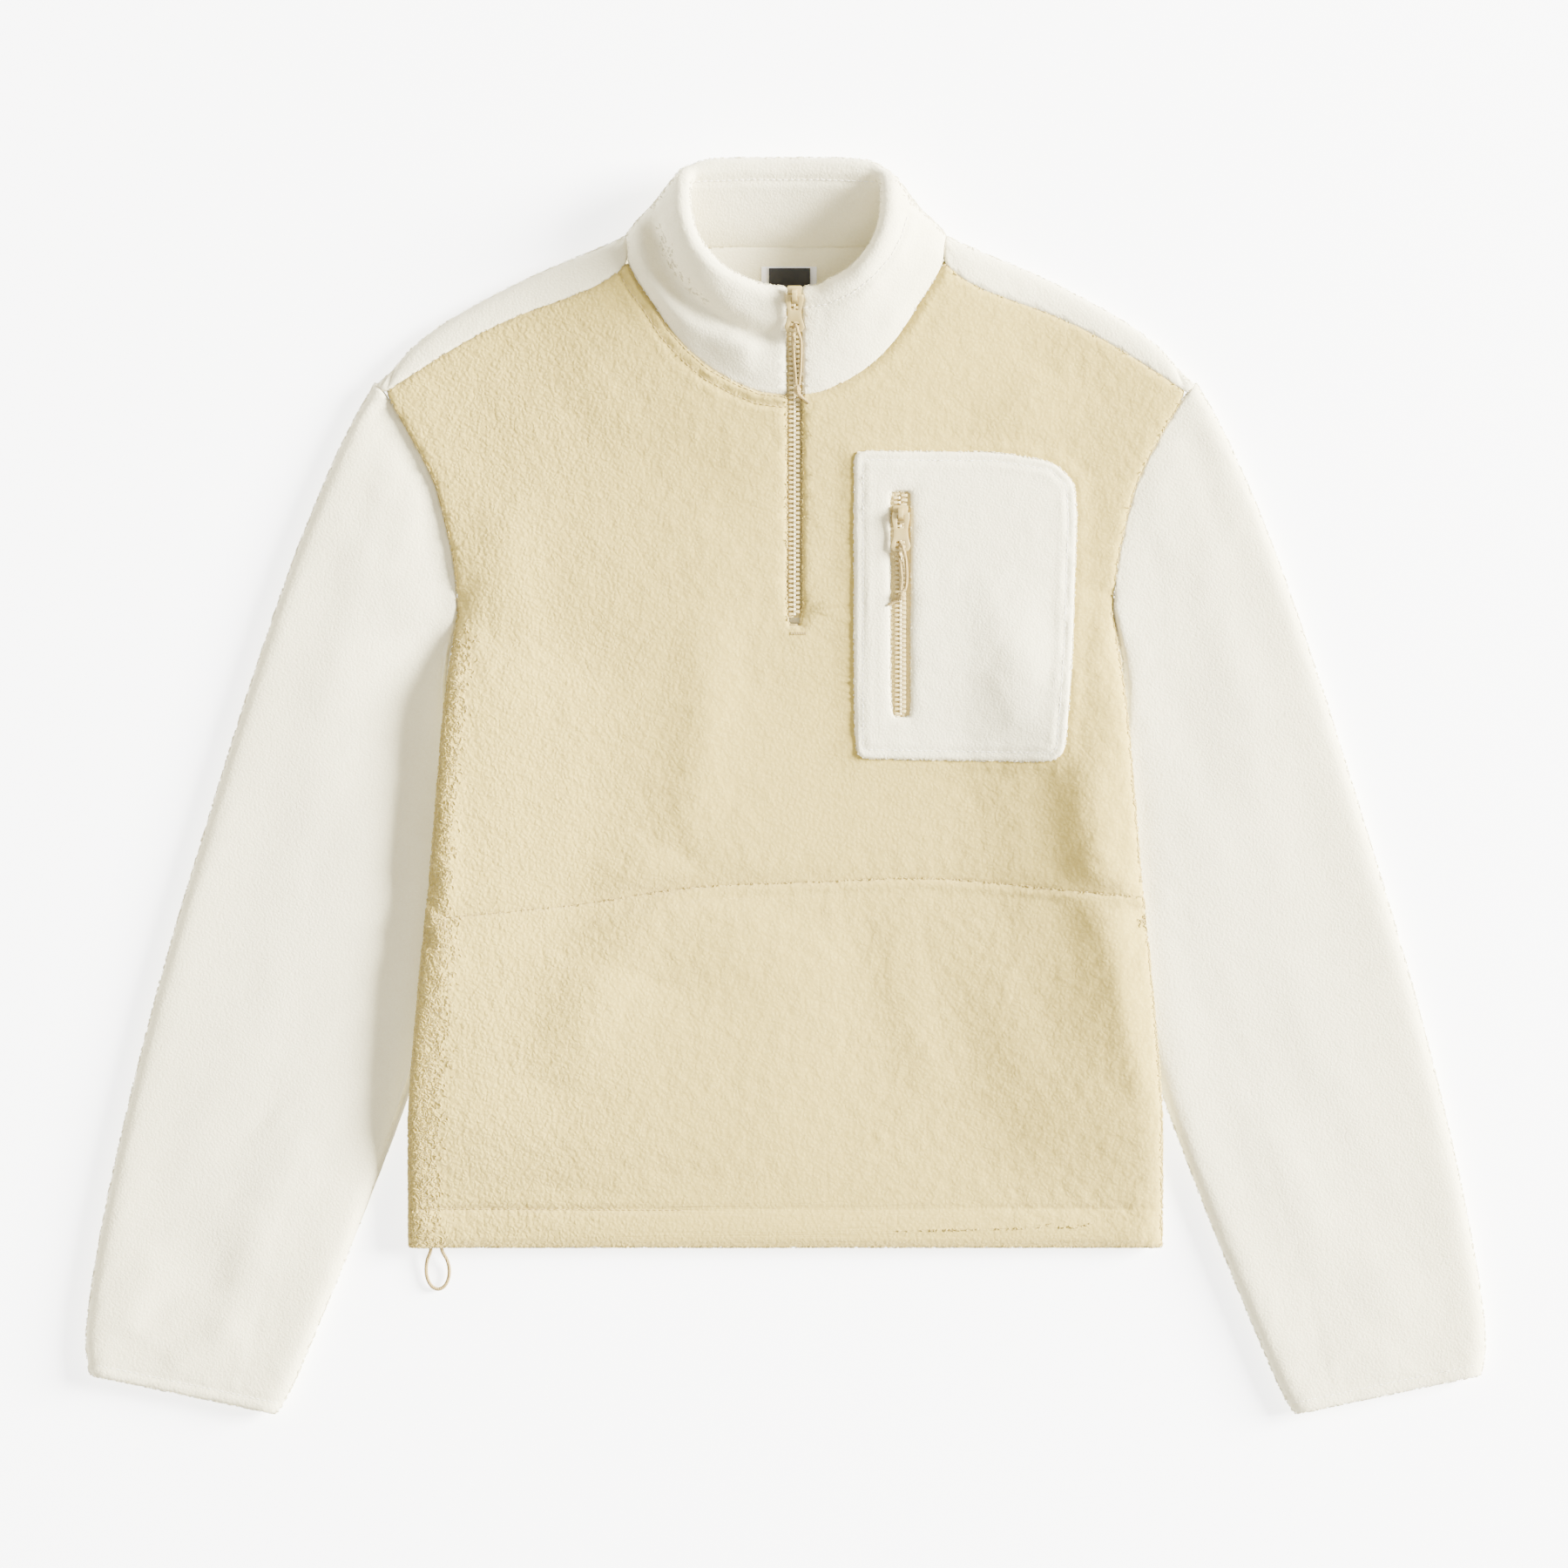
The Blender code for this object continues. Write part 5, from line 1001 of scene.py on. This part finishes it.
def build_chain(name, node, line, x, low_y, high_y, depth, open_from):
    """Two rows of moulded teeth that mesh, and part above the slider."""
    verts, faces = [], []
    for i in range(int((high_y - low_y) / PITCH)):
        for side in (-1, 1):
            y = low_y + PITCH * (i + TOOTH_START + (TOOTH_STAGGER if side > 0 else 0.0))
            if y > high_y:
                continue
            spread = 0.0 if y < open_from else min(PARTING_MOST, PARTING_RATE * (y - open_from))
            spot, along, out = line_frame(line, y)
            first = len(verts)
            for ring in tooth(side, spread):
                verts += [(np.array((x + tx, 0, 0)) + spot + along * ty + out * (tz + depth)) * MM
                          for tx, ty, tz in ring]
            for r in range(len(TOOTH_SECTIONS) - 1):
                start, after = first + TOOTH_CORNERS * r, first + TOOTH_CORNERS * (r + 1)
                for k in range(TOOTH_CORNERS):
                    k2 = (k + 1) % TOOTH_CORNERS
                    face = (start + k, start + k2, after + k2, after + k)
                    faces.append(face if side > 0 else (face[0], face[3], face[2], face[1]))
            last = len(verts) - 1
            for face in (tuple(range(first, first + TOOTH_CORNERS)),
                         tuple(range(last, last - TOOTH_CORNERS, -1))):
                faces.append(face[::-1] if side > 0 else face)
    chain = mesh_object(name, verts, faces, TEETH_RESIN, flat=True)
    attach(chain, GARMENT)
    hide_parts(node)


def build_tape(name, node, line, x, half_width, low_y, high_y, top, wall):
    """The woven tapes under a chain, each with a raised cord edge along the middle."""
    section = ((-half_width, -wall), (half_width, -wall), (half_width, 0.0), *TAPE_CORDS,
               (-half_width, 0.0))
    count = int((high_y - low_y) / TAPE_STEP)
    verts, faces = [], []
    size = len(section)
    for i in range(count + 1):
        spot, _, out = line_frame(line, low_y + (high_y - low_y) * i / count)
        verts += [(np.array((x + sx, 0, 0)) + spot + out * (top + sz)) * MM for sx, sz in section]
    for i in range(count):
        for k in range(size):
            a, b = i * size + k, i * size + (k + 1) % size
            faces.append((a, b, b + size, a + size))
    faces += [tuple(range(size))[::-1], tuple(range(count * size, (count + 1) * size))]
    tape = mesh_object(name, verts, faces, TAPE_CLOTH, flat=True)
    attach(tape, GARMENT)
    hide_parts(node)


def build_zips():
    """The teeth and the tapes of both zips."""
    build_chain("centre_zip_teeth", "centre_zip_chain", CENTRE_LINE, ZIP_X,
                low_y=ZIP_STOP_Y + 1.5, high_y=291.5, depth=-1.6, open_from=287.0)
    build_tape("centre_zip_woven_tape", "centre_zip_tape", CENTRE_LINE, ZIP_X, half_width=4.8,
               low_y=ZIP_STOP_Y, high_y=292.4, top=-3.1, wall=1.0)
    low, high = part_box("pocket_zip_tape")
    low_y, high_y, level = low.y / MM, high.y / MM, low.z / MM
    chain_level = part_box("pocket_zip_chain")[0].z / MM
    flat_line = ((low_y, level), (high_y, level))
    build_chain("pocket_zip_teeth", "pocket_zip_chain", flat_line, POCKET_ZIP_X,
                low_y=low_y + 2.0, high_y=high_y - 1.0, depth=chain_level - level + 0.85,
                open_from=164.0)
    build_tape("pocket_zip_woven_tape", "pocket_zip_tape", flat_line, POCKET_ZIP_X, half_width=6.6,
               low_y=low_y, high_y=high_y, top=1.1, wall=1.1)


# Small parts: how far apart split vertices are joined, and how a hard edge is eased, in metres
TRIM_WELD = 1e-5
TRIM_EDGE = 0.00025
TRIM_EDGE_STEPS = 2
TRIM_EDGE_ANGLE = math.radians(40)


def finish_solid(node, mat, edge=0.0):
    """A solid that shows as it is, with its finish, and its hard edges eased by a width."""
    obj = NODES[node]
    obj.data.materials.clear()
    obj.data.materials.append(mat)
    if edge:
        weld = obj.modifiers.new("weld", "WELD")
        weld.merge_threshold = TRIM_WELD
        ease = obj.modifiers.new("ease", "BEVEL")
        ease.width = edge
        ease.segments = TRIM_EDGE_STEPS
        ease.limit_method = "ANGLE"
        ease.angle_limit = TRIM_EDGE_ANGLE
        obj.data.shade_smooth()


def build_trims():
    """The sliders, the pulls, the knots and the labels."""
    for node in ("centre_zip_slider", "centre_zip_pull", "pocket_zip_slider", "pocket_zip_pull"):
        finish_solid(node, ENAMEL_PAINT, TRIM_EDGE)
    for node in ("centre_pull_knot", "pocket_pull_knot"):
        finish_solid(node, CORD_BRAID)
        NODES[node].data.shade_smooth()
    finish_solid("neck_label_base", LABEL_WHITE)
    finish_solid("neck_label", LABEL_BLACK)


# ---------------------------------------------------------------- the garment

build_camera()
build_cord("centre_pull_lace", "centre_pull_cord", CENTRE_CORD_ROUTE, PULL_CORD_RADIUS, CENTRE_PULL)
build_cord("pocket_pull_lace", "pocket_pull_cord", POCKET_CORD_ROUTE, PULL_CORD_RADIUS, POCKET_PULL)
build_cord("hem_drawcord_loop", "hem_drawcord", DRAWCORD_ROUTE, DRAWCORD_RADIUS, GARMENT)
build_stage()
shells = build_cloth()
build_pile(shells)
build_sewing(shells)
build_zips()
build_trims()
